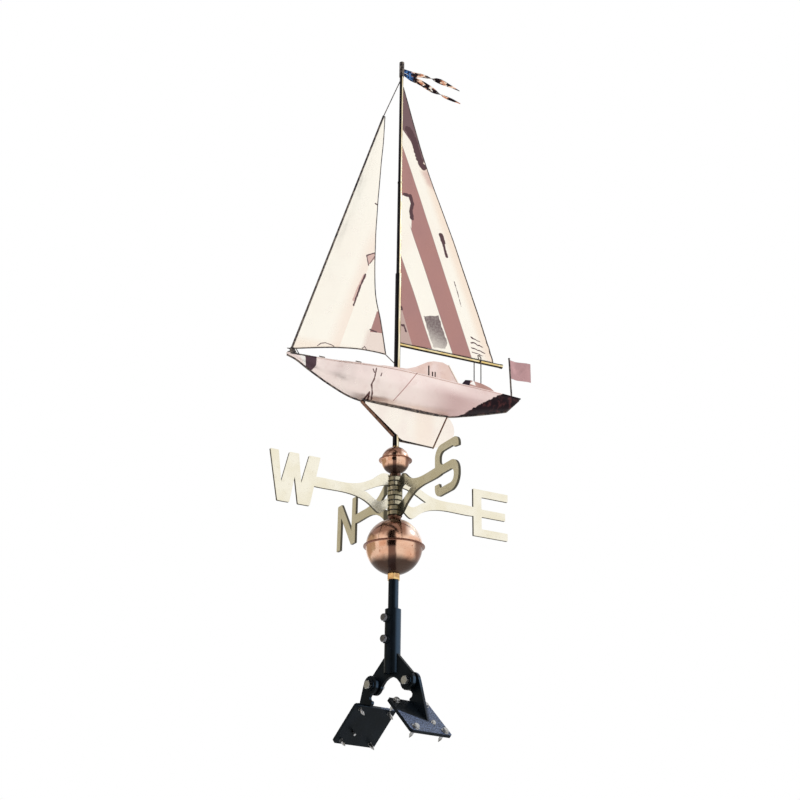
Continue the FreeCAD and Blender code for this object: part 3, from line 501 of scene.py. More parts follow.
def hull_paint():
    p = Paint("hull_copper", YACHT_TURN)
    colour = p.mix(p.step(p.noise(70.0, 3.0), 0.34, 0.72), (0.93, 0.78, 0.735), (0.95, 0.83, 0.775))
    low = p.math("MULTIPLY", p.step(p.s, 20.0, 130.0), p.step(p.sum(p.z, p.scaled(p.s, 0.10)), 606.0, 580.0))
    colour = p.mix(p.scaled(low, 0.9), colour, (0.58, 0.385, 0.37))
    colour = p.mix(p.scaled(p.step(p.s, 95.0, 165.0), 0.6), colour, (0.72, 0.53, 0.51))
    colour = p.mix(p.scaled(p.step(p.noise(16.0, 5.0), 0.54, 0.74), 0.2), colour, ROSE)
    jag = p.scaled(p.math("SUBTRACT", p.noise(10.0, 3.0), 0.5), 9.0)
    stern = p.step(p.sum(p.line((149.0, 554.0), (221.5, 603.0)), jag), -0.8, 0.8)
    brown = p.mix(p.step(p.noise(13.0, 4.0), 0.5, 0.75), SOOT, (0.10, 0.035, 0.035))
    bow = p.patch([(-199.0, 612.0), (-177.0, 612.0), (-176.0, 594.0), (-185.0, 579.0), (-195.0, 586.0)], 0.8)
    crease = p.most(
        p.streak([(-59.9, 599.9), (-62.6, 578.8), (-67.0, 566.4), (-58.3, 543.3)], 1.4, 0.5, 7.0),
        p.streak([(-73.8, 539.5), (-67.6, 552.1), (-64.9, 542.9)], 1.8, 0.4, 5.0),
        p.streak([(-66.3, 596.9), (-63.5, 590.0)], 1.0, 0.4, 4.0),
        p.streak([(-49.0, 590.7), (-50.5, 585.0)], 1.0, 0.4, 4.0),
    )
    fold = p.streak([(25.0, 604.0), (-15.0, 546.0)], 0.8, 0.2)
    glint = p.patch([(-212.6, 612.0), (-200.0, 612.0), (-195.0, 588.0)], 0.4)
    colour = p.mix(glint, colour, (0.96, 0.93, 0.88))
    colour = p.mix(bow, colour, (0.10, 0.062, 0.075))
    colour = p.mix(fold, colour, MAUVE)
    colour = p.mix(crease, colour, (0.13, 0.065, 0.065))
    colour = p.mix(stern, colour, brown)
    sheet_bump(p, 30.0)
    return p.set(colour, sheet_roughness(p, 0.2, 0.4))


def fin_paint():
    """Keel and rudder skins: the palest copper, with a warm cast towards the hull."""
    p = Paint("keel_copper", YACHT_TURN)
    colour = p.mix(p.step(p.noise(50.0, 3.0), 0.40, 0.7), (0.97, 0.90, 0.81), (0.93, 0.83, 0.76))
    warm = p.step(p.math("ABSOLUTE", p.math("SUBTRACT", p.s, 60.0)), 34.0, 8.0)
    colour = p.mix(p.scaled(warm, 0.5), colour, (0.93, 0.78, 0.66))
    sheet_bump(p, 34.0)
    return p.set(colour, sheet_roughness(p, 0.2, 0.36))


def deck_paint():
    p = Paint("deck_copper", YACHT_TURN)
    colour = p.mix(p.step(p.noise(30.0, 4.0), 0.38, 0.66), PINK, (0.80, 0.60, 0.53))
    colour = p.mix(p.math("MULTIPLY", p.step(p.noise(9.0, 4.0), 0.5, 0.75), 0.4), colour, ROSE)
    seam = p.math("SUBTRACT", p.math("FRACT", p.math("DIVIDE", p.y, 7.0)), 0.5)
    plank = p.step(p.math("ABSOLUTE", seam), 0.06, 0.02)
    colour = p.mix(p.math("MULTIPLY", plank, 0.25), colour, MAUVE)
    sheet_bump(p, 24.0)
    return p.set(colour, sheet_roughness(p, 0.22, 0.42))


def coaming_paint():
    """Cockpit wall, with painted shade at its front end, a painted highlight beside that and a painted shadow
    along its foot.
    """
    p = Paint("coaming_copper", YACHT_TURN)
    colour = p.mix(p.step(p.noise(18.0, 4.0), 0.38, 0.66), (0.46, 0.27, 0.235), (0.54, 0.34, 0.30))
    # Painted shade: near black where the shaded cockpit well shows at the wall's front end.
    painted_shade_front = p.patch([(132.0, 626.0), (158.2, 626.0), (152.8, 608.0), (132.0, 608.0)], 0.5, 5.0)
    # Painted highlight beside it.
    glint = p.patch([(164.4, 625.5), (169.6, 614.5), (155.0, 616.0)], 0.3, 5.0)
    # Painted shadow: a dark blue line along the wall's foot.
    foot = p.step(p.sum(p.z, p.scaled(p.s, -0.045)), 600.6, 599.6)
    colour = p.mix(glint, colour, (0.97, 0.94, 0.90))
    colour = p.mix(painted_shade_front, colour, (0.03, 0.02, 0.03))
    colour = p.mix(foot, colour, (0.05, 0.05, 0.12))
    sheet_bump(p, 24.0)
    return p.set(colour, sheet_roughness(p, 0.22, 0.42))


def flag_paint():
    p = Paint("flag_copper", YACHT_TURN)
    colour = p.mix(p.step(p.noise(16.0, 3.0), 0.40, 0.66), (0.53, 0.315, 0.32), (0.48, 0.29, 0.295))
    sheet_bump(p, 16.0)
    return p.set(colour, sheet_roughness(p, 0.2, 0.4))


def pennant_paint():
    p = Paint("pennant_copper", YACHT_TURN)
    flake = p.noise(10.0, 3.0, (1.3, 1.0, 0.6))
    colour = p.mix(p.step(flake, 0.46, 0.50), (0.62, 0.26, 0.15), (0.92, 0.66, 0.50))
    colour = p.mix(p.step(p.noise(12.0, 3.0, (1.6, 1.0, 0.55)), 0.44, 0.47), colour, SOOT)
    colour = p.mix(p.step(p.noise(7.0, 2.0, (1.4, 1.0, 0.8)), 0.62, 0.66), colour, (0.96, 0.88, 0.80))
    root = p.mix(p.step(p.noise(6.0, 2.0), 0.45, 0.55), (0.012, 0.018, 0.045), (0.07, 0.19, 0.46))
    colour = p.mix(p.step(p.s, 30.0, 22.0), colour, root)
    p.bump(p.noise(7.0, 2.0), 1.0, 0.6)
    return p.set(colour, 0.3)


def ball_paint(name, centre_z, radius):
    """Spun copper with fine rings. Its dark crown, band, right edge and underside and its pale lid are
    painted reflections; it is also darker along the rim.
    """
    p = Paint(name)
    up = p.math("DIVIDE", p.math("SUBTRACT", p.z, centre_z), radius)
    away = p.math("ABSOLUTE", up)
    colour = p.mix(p.step(p.noise(22.0, 4.0), 0.35, 0.68), (0.80, 0.44, 0.29), (0.88, 0.58, 0.42))
    colour = p.mix(p.step(p.noise(5.0, 5.0), 0.60, 0.78), colour, (0.46, 0.19, 0.11))
    across = p.math("SUBTRACT", p.scaled(p.s, TO_RIGHT[0]), p.scaled(p.y, -TO_RIGHT[1]))
    across = p.scaled(across, 1.0 / radius)
    cloud = p.scaled(p.math("SUBTRACT", p.noise(radius * 0.35, 3.0), 0.5), 0.7)
    # Painted dark reflection over the crown, but for its right side.
    crown = p.math("MULTIPLY", p.step(p.math("ADD", up, cloud), 0.05, 0.34), p.step(across, 0.58, 0.32))
    colour = p.mix(p.scaled(crown, 0.85), colour, (0.17, 0.072, 0.045))
    # Painted highlight: the pale lid to the upper right.
    lid = p.math("MULTIPLY", p.step(up, 0.10, 0.30), p.step(across, 0.35, 0.60))
    colour = p.mix(p.scaled(lid, 0.8), colour, (0.96, 0.82, 0.74))
    # Painted dark reflections on the lower half: a band down the middle, the right edge and the underside.
    band = p.step(p.math("ABSOLUTE", p.sum(across, 0.06, p.scaled(cloud, 0.12))), 0.17, 0.10)
    limb = p.step(p.math("ADD", across, p.scaled(cloud, 0.15)), 0.62, 0.80)
    belly = p.step(p.math("ADD", up, p.scaled(cloud, 0.25)), -0.44, -0.68)
    shade = p.math("MULTIPLY", p.most(p.scaled(band, 0.9), p.scaled(limb, 0.85)), p.step(up, 0.12, 0.0))
    colour = p.mix(shade, colour, (0.12, 0.05, 0.035))
    colour = p.mix(p.scaled(belly, 0.93), colour, (0.018, 0.009, 0.008))
    colour = p.mix(p.step(away, 0.05, 0.02), colour, (0.22, 0.10, 0.07))
    # The painted dark underside and lower right edge are also made less metallic, so they stay dark.
    dull = p.most(belly, p.math("MULTIPLY", p.scaled(limb, 0.7), p.step(up, 0.12, 0.0)))
    rings = p.noise(1.6, 2.0, (40.0, 40.0, 0.5))
    dents = p.noise(14.0, 2.0)
    p.bump(p.math("ADD", dents, p.math("MULTIPLY", rings, 0.10)), 0.28, 0.5)
    metallic = p.math("SUBTRACT", 1.0, p.scaled(dull, 0.9))
    return p.set(colour, p.math("ADD", 0.10, p.math("MULTIPLY", p.noise(9.0, 4.0), 0.16)), metallic,
                 Specular_IOR_Level=0.08)


def brass_paint(name, bright, deep, low, high, dent, turn=0.0):
    """Brass fittings, spotted with brown; low and high are the limits of the roughness."""
    p = Paint(name, turn)
    colour = p.mix(p.step(p.noise(9.0, 4.0), 0.36, 0.68), bright, deep)
    colour = p.mix(p.math("MULTIPLY", p.step(p.noise(4.0, 5.0), 0.62, 0.80), 0.5), colour, (0.38, 0.25, 0.10))
    p.bump(p.math("ADD", p.noise(4.5, 2.0), p.math("MULTIPLY", p.noise(0.9, 3.0), 0.12)), dent, 0.5)
    return p.set(colour, p.math("ADD", low, p.math("MULTIPLY", p.noise(8.0, 3.0), high - low)))


def casting_paint(name, turn, shaded=0.0):
    """Cast brass: polished on its two flat faces, sandy and darkened by painted shade round its rim, and with
    painted shade by its hub.
    """
    p = Paint(name, turn)
    colour = p.mix(p.step(p.noise(40.0, 3.0), 0.34, 0.70), (0.92, 0.875, 0.74), (0.86, 0.80, 0.63))
    colour = p.mix(p.scaled(p.step(p.noise(6.0, 5.0), 0.58, 0.78), 0.25), colour, (0.50, 0.42, 0.27))
    normal = p.add("ShaderNodeTexCoord").outputs["Normal"]
    facing = p.math("ABSOLUTE", p.vector("DOT_PRODUCT", normal, (-math.sin(turn), math.cos(turn), 0.0)))
    # Painted shade darkens the sandy rim faces.
    rim = p.step(facing, 0.93, 0.70)
    sand_and_shade = p.mix(p.noise(2.5, 4.0), (0.055, 0.050, 0.038), (0.15, 0.135, 0.095))
    colour = p.mix(rim, colour, sand_and_shade)
    along = p.math("ABSOLUTE", p.s)
    # Painted shade along the arms beside the hub, as strong as shaded.
    near = p.math("MULTIPLY", p.step(along, 15.0, 18.0), p.step(along, 46.0, 37.0))
    colour = p.mix(p.scaled(near, shaded), colour, (0.045, 0.045, 0.035))
    hub = p.step(p.most(along, p.math("ABSOLUTE", p.y)), 18.0, 15.5)
    colour = p.mix(p.scaled(hub, 0.8), colour, (0.40, 0.355, 0.235))
    # Painted shade in the gaps between the stacked hub eyes.
    level = p.math("FRACT", p.scaled(p.math("SUBTRACT", p.z, HUB_BOTTOM - 0.25 * EYE_H), 2.0 / EYE_H))
    groove = p.step(p.math("ABSOLUTE", p.math("SUBTRACT", level, 0.5)), 0.20, 0.10)
    colour = p.mix(p.math("MULTIPLY", hub, groove), colour, (0.045, 0.042, 0.030))
    p.bump(p.math("ADD", p.noise(14.0, 2.0), p.scaled(p.noise(0.9, 3.0), 0.15)), 0.16, 0.5)
    rough = p.math("ADD", p.scaled(p.noise(8.0, 3.0), 0.14), p.math("ADD", 0.17, p.scaled(rim, 0.3)))
    return p.set(colour, rough)


def boom_paint():
    """Gold-lacquered boom, with painted shade darkening its top and underside."""
    p = Paint("boom_brass", YACHT_TURN)
    up = p.add("ShaderNodeSeparateXYZ")
    p.link(p.add("ShaderNodeTexCoord").outputs["Normal"], up.inputs[0])
    colour = p.mix(p.step(p.noise(14.0), 0.36, 0.62), (0.93, 0.68, 0.26), (0.80, 0.62, 0.30))
    colour = p.mix(p.math("MULTIPLY", p.step(p.noise(24.0, 2.0), 0.5, 0.6), 0.5), colour, (0.95, 0.90, 0.66))
    # Painted shade along the boom's top and underside.
    painted_shade_bands = p.most(p.step(up.outputs[2], 0.02, 0.20), p.step(up.outputs[2], -0.52, -0.66))
    colour = p.mix(painted_shade_bands, colour, (0.030, 0.026, 0.024))
    p.bump(p.noise(5.0, 3.0), 0.1, 0.5)
    return p.set(colour, p.math("ADD", 0.16, p.scaled(p.noise(6.0, 3.0), 0.14)))


def mast_paint():
    """Brass mast, painted dark as reflection all round but for a strip of bright brass down the side to the
    right of the main view.
    """
    p = Paint("mast_brass")
    normal = p.add("ShaderNodeTexCoord").outputs["Normal"]
    side = p.vector("DOT_PRODUCT", normal, TO_RIGHT)
    wander = p.scaled(p.math("SUBTRACT", p.noise(40.0, 3.0), 0.5), 0.35)
    bright = p.math("MULTIPLY", p.step(p.math("ADD", side, wander), 0.22, 0.42), p.step(side, 0.93, 0.84))
    brass = p.mix(p.step(p.noise(20.0, 3.0), 0.4, 0.65), (0.93, 0.84, 0.62), (0.78, 0.64, 0.40))
    # Painted dark reflection everywhere but the bright brass strip.
    colour = p.mix(bright, (0.016, 0.014, 0.016), brass)
    p.bump(p.noise(1.0, 3.0), 0.05, 0.5)
    return p.set(colour, p.math("ADD", 0.16, p.scaled(p.noise(8.0, 3.0), 0.14)))


def black_paint():
    """Black powder coat: orange peel, a painted bluish reflection on upright faces to the right, and painted
    light speckled on upward faces of parts of the feet.
    """
    p = Paint("black_powder_coat")
    colour = p.mix(p.step(p.noise(34.0, 4.0), 0.35, 0.7), (0.002, 0.003, 0.004), (0.004, 0.006, 0.009))
    geometry = p.add("ShaderNodeNewGeometry")
    split = p.add("ShaderNodeSeparateXYZ")
    p.link(geometry.outputs["Normal"], split.inputs[0])
    # Painted light: where the near foot's plate lies past the edge of the web's shadow, or right of the web.
    down = p.scaled(p.sum(p.y, p.z, 42.0), -0.7071)
    below = p.sum(down, p.scaled(p.s, -0.355), -77.4)
    where = p.most(p.step(below, -2.5, 2.5), p.step(p.s, 11.0, 15.0))
    # Speckle of painted light on upward faces.
    lit_speckle = p.math("MULTIPLY", p.step(split.outputs[2], 0.35, 0.75), p.step(p.noise(1.7, 4.0), 0.40, 0.60))
    # Painted bluish reflection on upright faces turned to the right.
    lit = p.step(p.vector("DOT_PRODUCT", geometry.outputs["Normal"], TO_RIGHT), 0.20, 0.60)
    upright = p.step(p.math("ABSOLUTE", split.outputs[2]), 0.45, 0.25)
    colour = p.mix(p.math("MULTIPLY", lit, upright), colour, (0.042, 0.070, 0.108))
    colour = p.mix(p.math("MULTIPLY", lit_speckle, where), colour, (0.16, 0.21, 0.35))
    p.bump(p.noise(1.1, 3.0), 0.10, 0.6)
    rough = p.math("ADD", 0.27, p.math("MULTIPLY", p.noise(12.0, 4.0), 0.16))
    return p.set(colour, rough, 0.0, Specular_IOR_Level=0.10, Specular_Tint=(0.60, 0.80, 1.0, 1.0))


def zinc_paint(name, bright, dull):
    p = Paint(name)
    colour = p.mix(p.step(p.noise(3.5, 3.0), 0.35, 0.65), bright, dull)
    p.bump(p.noise(0.7, 3.0), 0.06, 0.5)
    return p.set(colour, p.math("ADD", 0.18, p.math("MULTIPLY", p.noise(2.5, 4.0), 0.2)))


def steel_paint():
    p = Paint("drawn_steel")
    colour = p.mix(p.noise(2.0, 3.0, (1, 1, 12)), (0.50, 0.50, 0.52), (0.62, 0.61, 0.60))
    p.bump(p.noise(0.5, 2.0, (1, 1, 20)), 0.03, 0.5)
    return p.set(colour, p.math("ADD", 0.2, p.math("MULTIPLY", p.noise(4.0, 3.0), 0.12)))


def edge_paint():
    """Wired sheet edges and thin wires, gone dark."""
    p = Paint("dark_wire", YACHT_TURN)
    colour = p.mix(p.step(p.noise(7.0, 4.0), 0.38, 0.66), (0.045, 0.040, 0.045), (0.22, 0.18, 0.15))
    p.bump(p.noise(1.2, 3.0), 0.08, 0.5)
    return p.set(colour, p.math("ADD", 0.25, p.math("MULTIPLY", p.noise(5.0, 3.0), 0.2)))


paints = {
    "mainsail": mainsail_paint(),
    "jib": jib_paint(),
    "hull": hull_paint(),
    "fin": fin_paint(),
    "deck": deck_paint(),
    "flag": flag_paint(),
    "coaming": coaming_paint(),
    "pennant": pennant_paint(),
    "casting_ew": casting_paint("cast_brass_east_west", COMPASS_TURN),
    "casting_ns": casting_paint("cast_brass_north_south", COMPASS_TURN + math.pi / 2, 0.9),
    "boom": boom_paint(),
    "gold": brass_paint("gold_brass", (0.88, 0.62, 0.27), (0.46, 0.26, 0.13), 0.14, 0.28, 0.04),
    "black": black_paint(),
    "zinc": zinc_paint("bright_zinc", (0.46, 0.47, 0.49), (0.38, 0.37, 0.34)),
    "dull_zinc": zinc_paint("dull_zinc", (0.17, 0.17, 0.19), (0.12, 0.12, 0.13)),
    "mast": mast_paint(),
    "steel": steel_paint(),
    "edge": edge_paint(),
    "bronze": brass_paint("dark_bronze", (0.10, 0.052, 0.035), (0.24, 0.13, 0.09), 0.2, 0.4, 0.16,
                          YACHT_TURN),
}


# ---- sails ----
LUFF_S = 3.2       # the sail's front edge lies just inside the mast's surface
SAIL_FOOT, SAIL_HEAD = 685.2, 1321.6


def fold_rise(s, z):
    """The folded sheet zigzags a little from fold to fold, 0 to 1."""
    at = []
    for low, high in FOLDS:
        at.append(low[0] + (high[0] - low[0]) * (z - low[1]) / (high[1] - low[1]))
    at = [at_height(LEECH, z, 1)[0]] + at
    for k in range(4):
        if s >= at[k + 1]:
            width = max(20.0, at[k] - at[k + 1])
            inside = min(1.0, (at[k] - s) / width)
            return inside if k % 2 == 0 else 1.0 - inside
    return 0.0


def mainsail():
    heights = [SAIL_FOOT + (SAIL_HEAD - SAIL_FOOT) * k / 180.0 for k in range(181)]
    rows = []
    for z in heights:
        end = at_height(LEECH, z, 1)[0]
        row = []
        for k in range(65):
            s = LUFF_S + (end - LUFF_S) * (1.0 - k / 64.0)
            q = end - s
            y = 1.0 - 2.6 * fold_rise(s, z) * min(1.0, (s - LUFF_S) / 25.0)
            clew = math.exp(-((q - 14.0) / 24.0) ** 2 - ((z - 712.0) / 30.0) ** 2)
            y += 1.1 * clew * math.sin((z + 0.3 * q) / 3.6)
            y += 1.3 * noise.noise(Vector((q / 55.0, z / 70.0, 3.0))) * min(1.0, (s - LUFF_S) / 12.0)
            row.append(yacht(s, y, z))
        rows.append(row)
    obj = grid("mainsail_sheet", rows)
    weld(obj, 3e-5)
    thicken(obj, 0.8)
    finish_piece(obj, "yacht", paints["mainsail"], ("mainsail",), smooth=4.0)
    edge = [Vector(rows[k][0]) for k in range(0, len(rows), 2)]
    wire = pipe("mainsail_wired_leech", edge, 1.25, 8)
    finish_piece(wire, "yacht", paints["edge"])


def jib():
    rows = []
    nu, nv = 56, 130
    lean = (JIB_LUFF[1][0] - JIB_LUFF[0][0]) / (JIB_LUFF[1][1] - JIB_LUFF[0][1])
    for i in range(nv + 1):
        v = i / nv
        left = [a + (b - a) * v for a, b in zip(*JIB_LUFF)]
        right = spline(JIB_LEECH, v * (len(JIB_LEECH) - 1))
        row = []
        for j in range(nu + 1):
            u = j / nu
            foot = spline(JIB_FOOT, u * (len(JIB_FOOT) - 1))
            head = [JIB_LUFF[1][k] + (JIB_LEECH[-1][k] - JIB_LUFF[1][k]) * u for k in (0, 1)]
            corner = [(1 - u) * ((1 - v) * JIB_LUFF[0][k] + v * JIB_LUFF[1][k])
                      + u * ((1 - v) * JIB_LEECH[0][k] + v * JIB_LEECH[-1][k]) for k in (0, 1)]
            s, z = [(1 - v) * foot[k] + v * head[k] + (1 - u) * left[k] + u * right[k] - corner[k]
                    for k in (0, 1)]
            away = s - (JIB_LUFF[0][0] + (z - JIB_LUFF[0][1]) * lean)
            zig = abs((away / 50.0) % 2.0 - 1.0)
            y = 3.0 * math.sin(math.pi * u) * math.sin(math.pi * v) + (0.5 - zig) * min(1.0, 4 * u)
            y += 1.4 * noise.noise(Vector((s / 50.0, z / 60.0, 7.0))) * min(1.0, 6 * u)
            row.append(yacht(s, -y, z))
        rows.append(row)
    obj = grid("jib_sheet", rows)
    weld(obj, 3e-5)
    thicken(obj, 0.8)
    finish_piece(obj, "yacht", paints["jib"], ("jib",), smooth=4.0)
    leech = [Vector(row[-1]) for row in rows[::2]]
    foot = [Vector(p) for p in rows[0]]
    finish_piece(pipe("jib_wired_leech", leech, 1.25, 8), "yacht", paints["edge"])
    finish_piece(pipe("jib_wired_foot", foot, 1.3, 8), "yacht", paints["edge"])


# ---- hull ----
# Station, half beam, keel height and sheer height. Aft of 250 the transom lifts the keel off its curve.
STATIONS = [
    (-234.0, 1.5, 607.0, 611.0), (-214.0, 5.0, 600.0, 610.0), (-185.0, 9.5, 583.0, 609.0),
    (-141.0, 17.0, 560.5, 607.5), (-96.0, 28.0, 543.5, 606.5), (-40.0, 38.0, 537.5, 605.0),
    (30.0, 42.0, 536.5, 603.0), (106.0, 38.5, 540.5, 602.0), (156.0, 33.0, 551.5, 603.0),
    (200.0, 26.5, 563.5, 605.0), (240.0, 19.0, 575.3, 607.5), (281.0, 8.0, 588.0, 611.0),
]
TRANSOM = ((250.0, 578.4), (281.5, 610.5))     # flat raked stern, foot to top
FIN_HALF = [(3.9,), (7.2,), (1.6,)]   # half thickness of the keel fin at -80, 0 and 112
RISE = [(-0.6, 0.2), (0.0, 0.0), (0.60, 0.20), (0.93, 0.52), (1.0, 1.0)]


def keel_height(s, keel):
    """Height of the hull's underside, which rises along the flat transom at the stern."""
    (foot_s, foot_z), (top_s, top_z) = TRANSOM
    return max(keel, foot_z + (s - foot_s) * (top_z - foot_z) / (top_s - foot_s))


def hull_point(t, up, side):
    """Point on the hull's side: t counts stations, up is 0 at the keel and 1 at the sheer."""
    s, beam, keel, sheer = spline(STATIONS, t)
    out, rise = spline(RISE[1:], up * 3.0) if up > 0 else (0.0, 0.0)
    out = max(out, 0.0)
    dent = 0.9 * noise.noise(Vector((s / 26.0, up * 2.2, side * 3.0))) * math.sin(math.pi * min(1, up)) ** 0.6
    crease = 0.7 * math.exp(-((s + 60.0 - 9.0 * (up - 0.5)) / 2.6) ** 2)
    fold = 0.5 * math.exp(-((s - 4.0 - 36.0 * (up - 0.6)) / 2.2) ** 2)
    y = beam * out + (dent - crease + fold) * min(1.0, beam / 12.0) * (0.0 if up > 0.97 else 1.0)
    return yacht(s, side * max(y, 0.0), keel_height(s, keel + (sheer - keel) * rise))


def solder_radius(share):
    """The solder along the keel's top thickens towards the stern and thins out at its end."""
    return 1.3 + 1.7 * math.sin(math.pi * min(1.0, 0.12 + share * 0.85)) * share


def hull():
    rows = []
    along, high = 150, 26
    for i in range(along + 1):
        t = (len(STATIONS) - 1) * i / along
        row = [hull_point(t, k / high, -1) for k in range(high, 0, -1)]
        row.append(hull_point(t, 0.0, 1))
        row += [hull_point(t, k / high, 1) for k in range(1, high + 1)]
        rows.append(row)
    obj = grid("hull_skin", rows)

    def caps(bm):
        bm.verts.ensure_lookup_table()
        n = 2 * high + 1
        for start in (0, along * n):
            bm.faces.new([bm.verts[start + k] for k in range(n)])
        bmesh.ops.recalc_face_normals(bm, faces=bm.faces)
    edit(obj, caps)
    thicken(obj, 1.0, -1.0)
    finish_piece(obj, "yacht", paints["hull"], ("hull",), smooth=40.0)
    for side, name in ((-1, "port"), (1, "starboard")):
        line = []
        for i in range(101):
            s, beam, keel, sheer = spline(STATIONS, (len(STATIONS) - 1) * i / 100)
            line.append(yacht(s, side * (beam + 0.1), sheer + 0.3))
        bead = pipe("gunwale_bead_" + name, line, 1.05, 10)
        finish_piece(bead, "yacht", paints["hull"])
        rail = pipe("bow_rail_" + name, line[3:18], 1.35, 10)
        finish_piece(rail, "yacht", paints["edge"])
    # Solder seams along the keel's top, their dark colour a painted dark reflection.
    for side, name in ((-1, "port"), (1, "starboard")):
        seam = []
        for i in range(61):
            s = -76.0 + 190.0 * i / 60
            keel = at_height(STATIONS, s, 0)[2]
            half = spline(FIN_HALF, (s + 80.0) / 80.0 if s < 0 else 1.0 + s / 112.0)[0]
            seam.append(yacht(s, side * (half + 0.4), keel + 0.5 + 0.25 * half))
        solder = pipe("keel_seam_" + name, seam, solder_radius, 12)
        finish_piece(solder, "yacht", paints["edge"])
    # The stem and stern seams are solder seams, drawn thick and dark so that they also paint the dark shade
    # along the keel line.
    for name, first, last in (("stem", 0.0, 4.35), ("stern", 7.1, 11.0)):
        line = []
        for i in range(91):
            s, beam, keel, sheer = spline(STATIONS, first + (last - first) * i / 90)
            line.append(yacht(s, 0.0, keel_height(s, keel) + 0.2))
        finish_piece(pipe(name + "_seam", line, 1.9, 10), "yacht", paints["edge"])
    bottom = [(1.0, 476.0), (12.0, 471.3), (79.0, 469.2)]
    foot = [yacht(s, 0.0, z) for s, z in bottom]
    finish_piece(pipe("keel_foot_seam", foot, 1.5, 10), "yacht", paints["edge"])
    post = [yacht(113.8, 0.0, 545.0), yacht(80.6, 0.0, 468.3)]
    post = pipe("rudder_post_seam", post, 2.1, 12)
    finish_piece(post, "yacht", paints["bronze"], ("rudder_post",))


# ---- flag and pennants ----
def flag():
    rows = []
    for i in range(25):
        v = i / 24
        row = []
        for j in range(41):
            u = j / 40
            s = 261.0 + 1.6 * (1 - v) + (50.0 - 2.0 * (1 - v)) * u
            z = 657.5 + 42.0 * v - 1.2 * u * (1 - v)
            y = 2.6 * math.sin(u * 5.2) * min(1.0, 3 * u) + 0.8 * noise.noise(Vector((u * 3, v * 2, 1)))
            row.append(yacht(s, y, z))
        rows.append(row)
    obj = grid("flag_sheet", rows)
    thicken(obj, 0.8)
    finish_piece(obj, "yacht", paints["flag"], ("stern_flag",), smooth=30.0)


# Each streamer: (along, middle height, width, turn in degrees) from its root in the cap to its tip.
UPPER = [(1.5, 1366.0, 9.0, 0), (12.0, 1366.0, 10.0, -4), (30.0, 1365.5, 13.0, -6), (50.0, 1369.5, 10.5, 0),
         (66.0, 1369.0, 9.0, 20), (76.0, 1368.0, 8.0, 56), (86.0, 1367.0, 10.0, 110),
         (104.0, 1364.5, 10.5, 155), (128.0, 1362.0, 6.0, 176), (147.0, 1359.5, 1.6, 184)]
LOWER = [(1.5, 1357.0, 5.0, 0), (9.0, 1355.0, 8.0, -6), (24.0, 1349.0, 11.5, -12), (46.0, 1345.5, 13.0, -18),
         (72.0, 1340.0, 12.0, -40), (90.0, 1335.5, 9.0, -95), (97.0, 1334.0, 8.0, -124),
         (106.0, 1332.0, 10.0, -158), (126.0, 1327.5, 8.0, -176), (147.0, 1321.5, 1.6, -182)]


def streamer(name, stations, node, sway):
    rows = []
    for i in range(121):
        t = (len(stations) - 1) * i / 120
        s, z, width, turn = spline(stations, t)
        middle = sway * math.sin(s / 21.0) * min(1.0, max(0.0, s - 6.0) / 30.0)
        lean = math.radians(turn)
        row = []
        for j in range(9):
            w = (j / 8 - 0.5) * width
            cup = 0.9 * (0.25 - (j / 8 - 0.5) ** 2) * min(1.0, s / 20.0)
            y = middle + w * math.sin(lean) + cup * math.cos(lean) * 4
            row.append(yacht(s, y, z + w * math.cos(lean) - cup * math.sin(lean) * 4))
        rows.append(row)
    obj = grid(name, rows)
    thicken(obj, 0.7)
    finish_piece(obj, "yacht", paints["pennant"], (node,), smooth=50.0)


# ---- spun balls ----
# Each ball: its radius, its rim's radius, the fillet beside the rim, and the holes' radii below and above.
BALLS = {"large": (53.6, 58.6, 1.9, (9.6, 6.35)), "small": (27.5, 32.4, 1.4, (6.35, 4.75))}


def ball(name, upper):
    node = name + ("_ball_upper" if upper else "_ball_lower")
    low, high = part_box(node)
    centre = (low + high) / 2
    seam = low.z if upper else high.z
    r, flange, fillet, holes = BALLS[name]
    wall = 0.9
    start = math.degrees(math.acos(holes[upper] / r))
    side = 1 if upper else -1
    outer = arc(0.0, 0.0, r, start, 5.0, 40)
    foot = arc(r + fillet + 0.25, fillet + 0.85, fillet, 180.0, 270.0, 8)
    rim = arc(flange - 0.45, 0.47, 0.42, 90.0, -80.0, 8)
    inner = arc(0.0, 0.0, r - wall, 1.0, start + 1.0, 30)
    profile = [(rr, side * h) for rr, h in outer + foot + rim + [(r - wall, 0.02)] + inner]
    profile.append(profile[0])
    obj = lathe(node + "_spun", profile, (centre.x, centre.y, seam))
    finish_piece(obj, "pole_stack", paints[name + "_ball"], (node,), smooth=42.0)


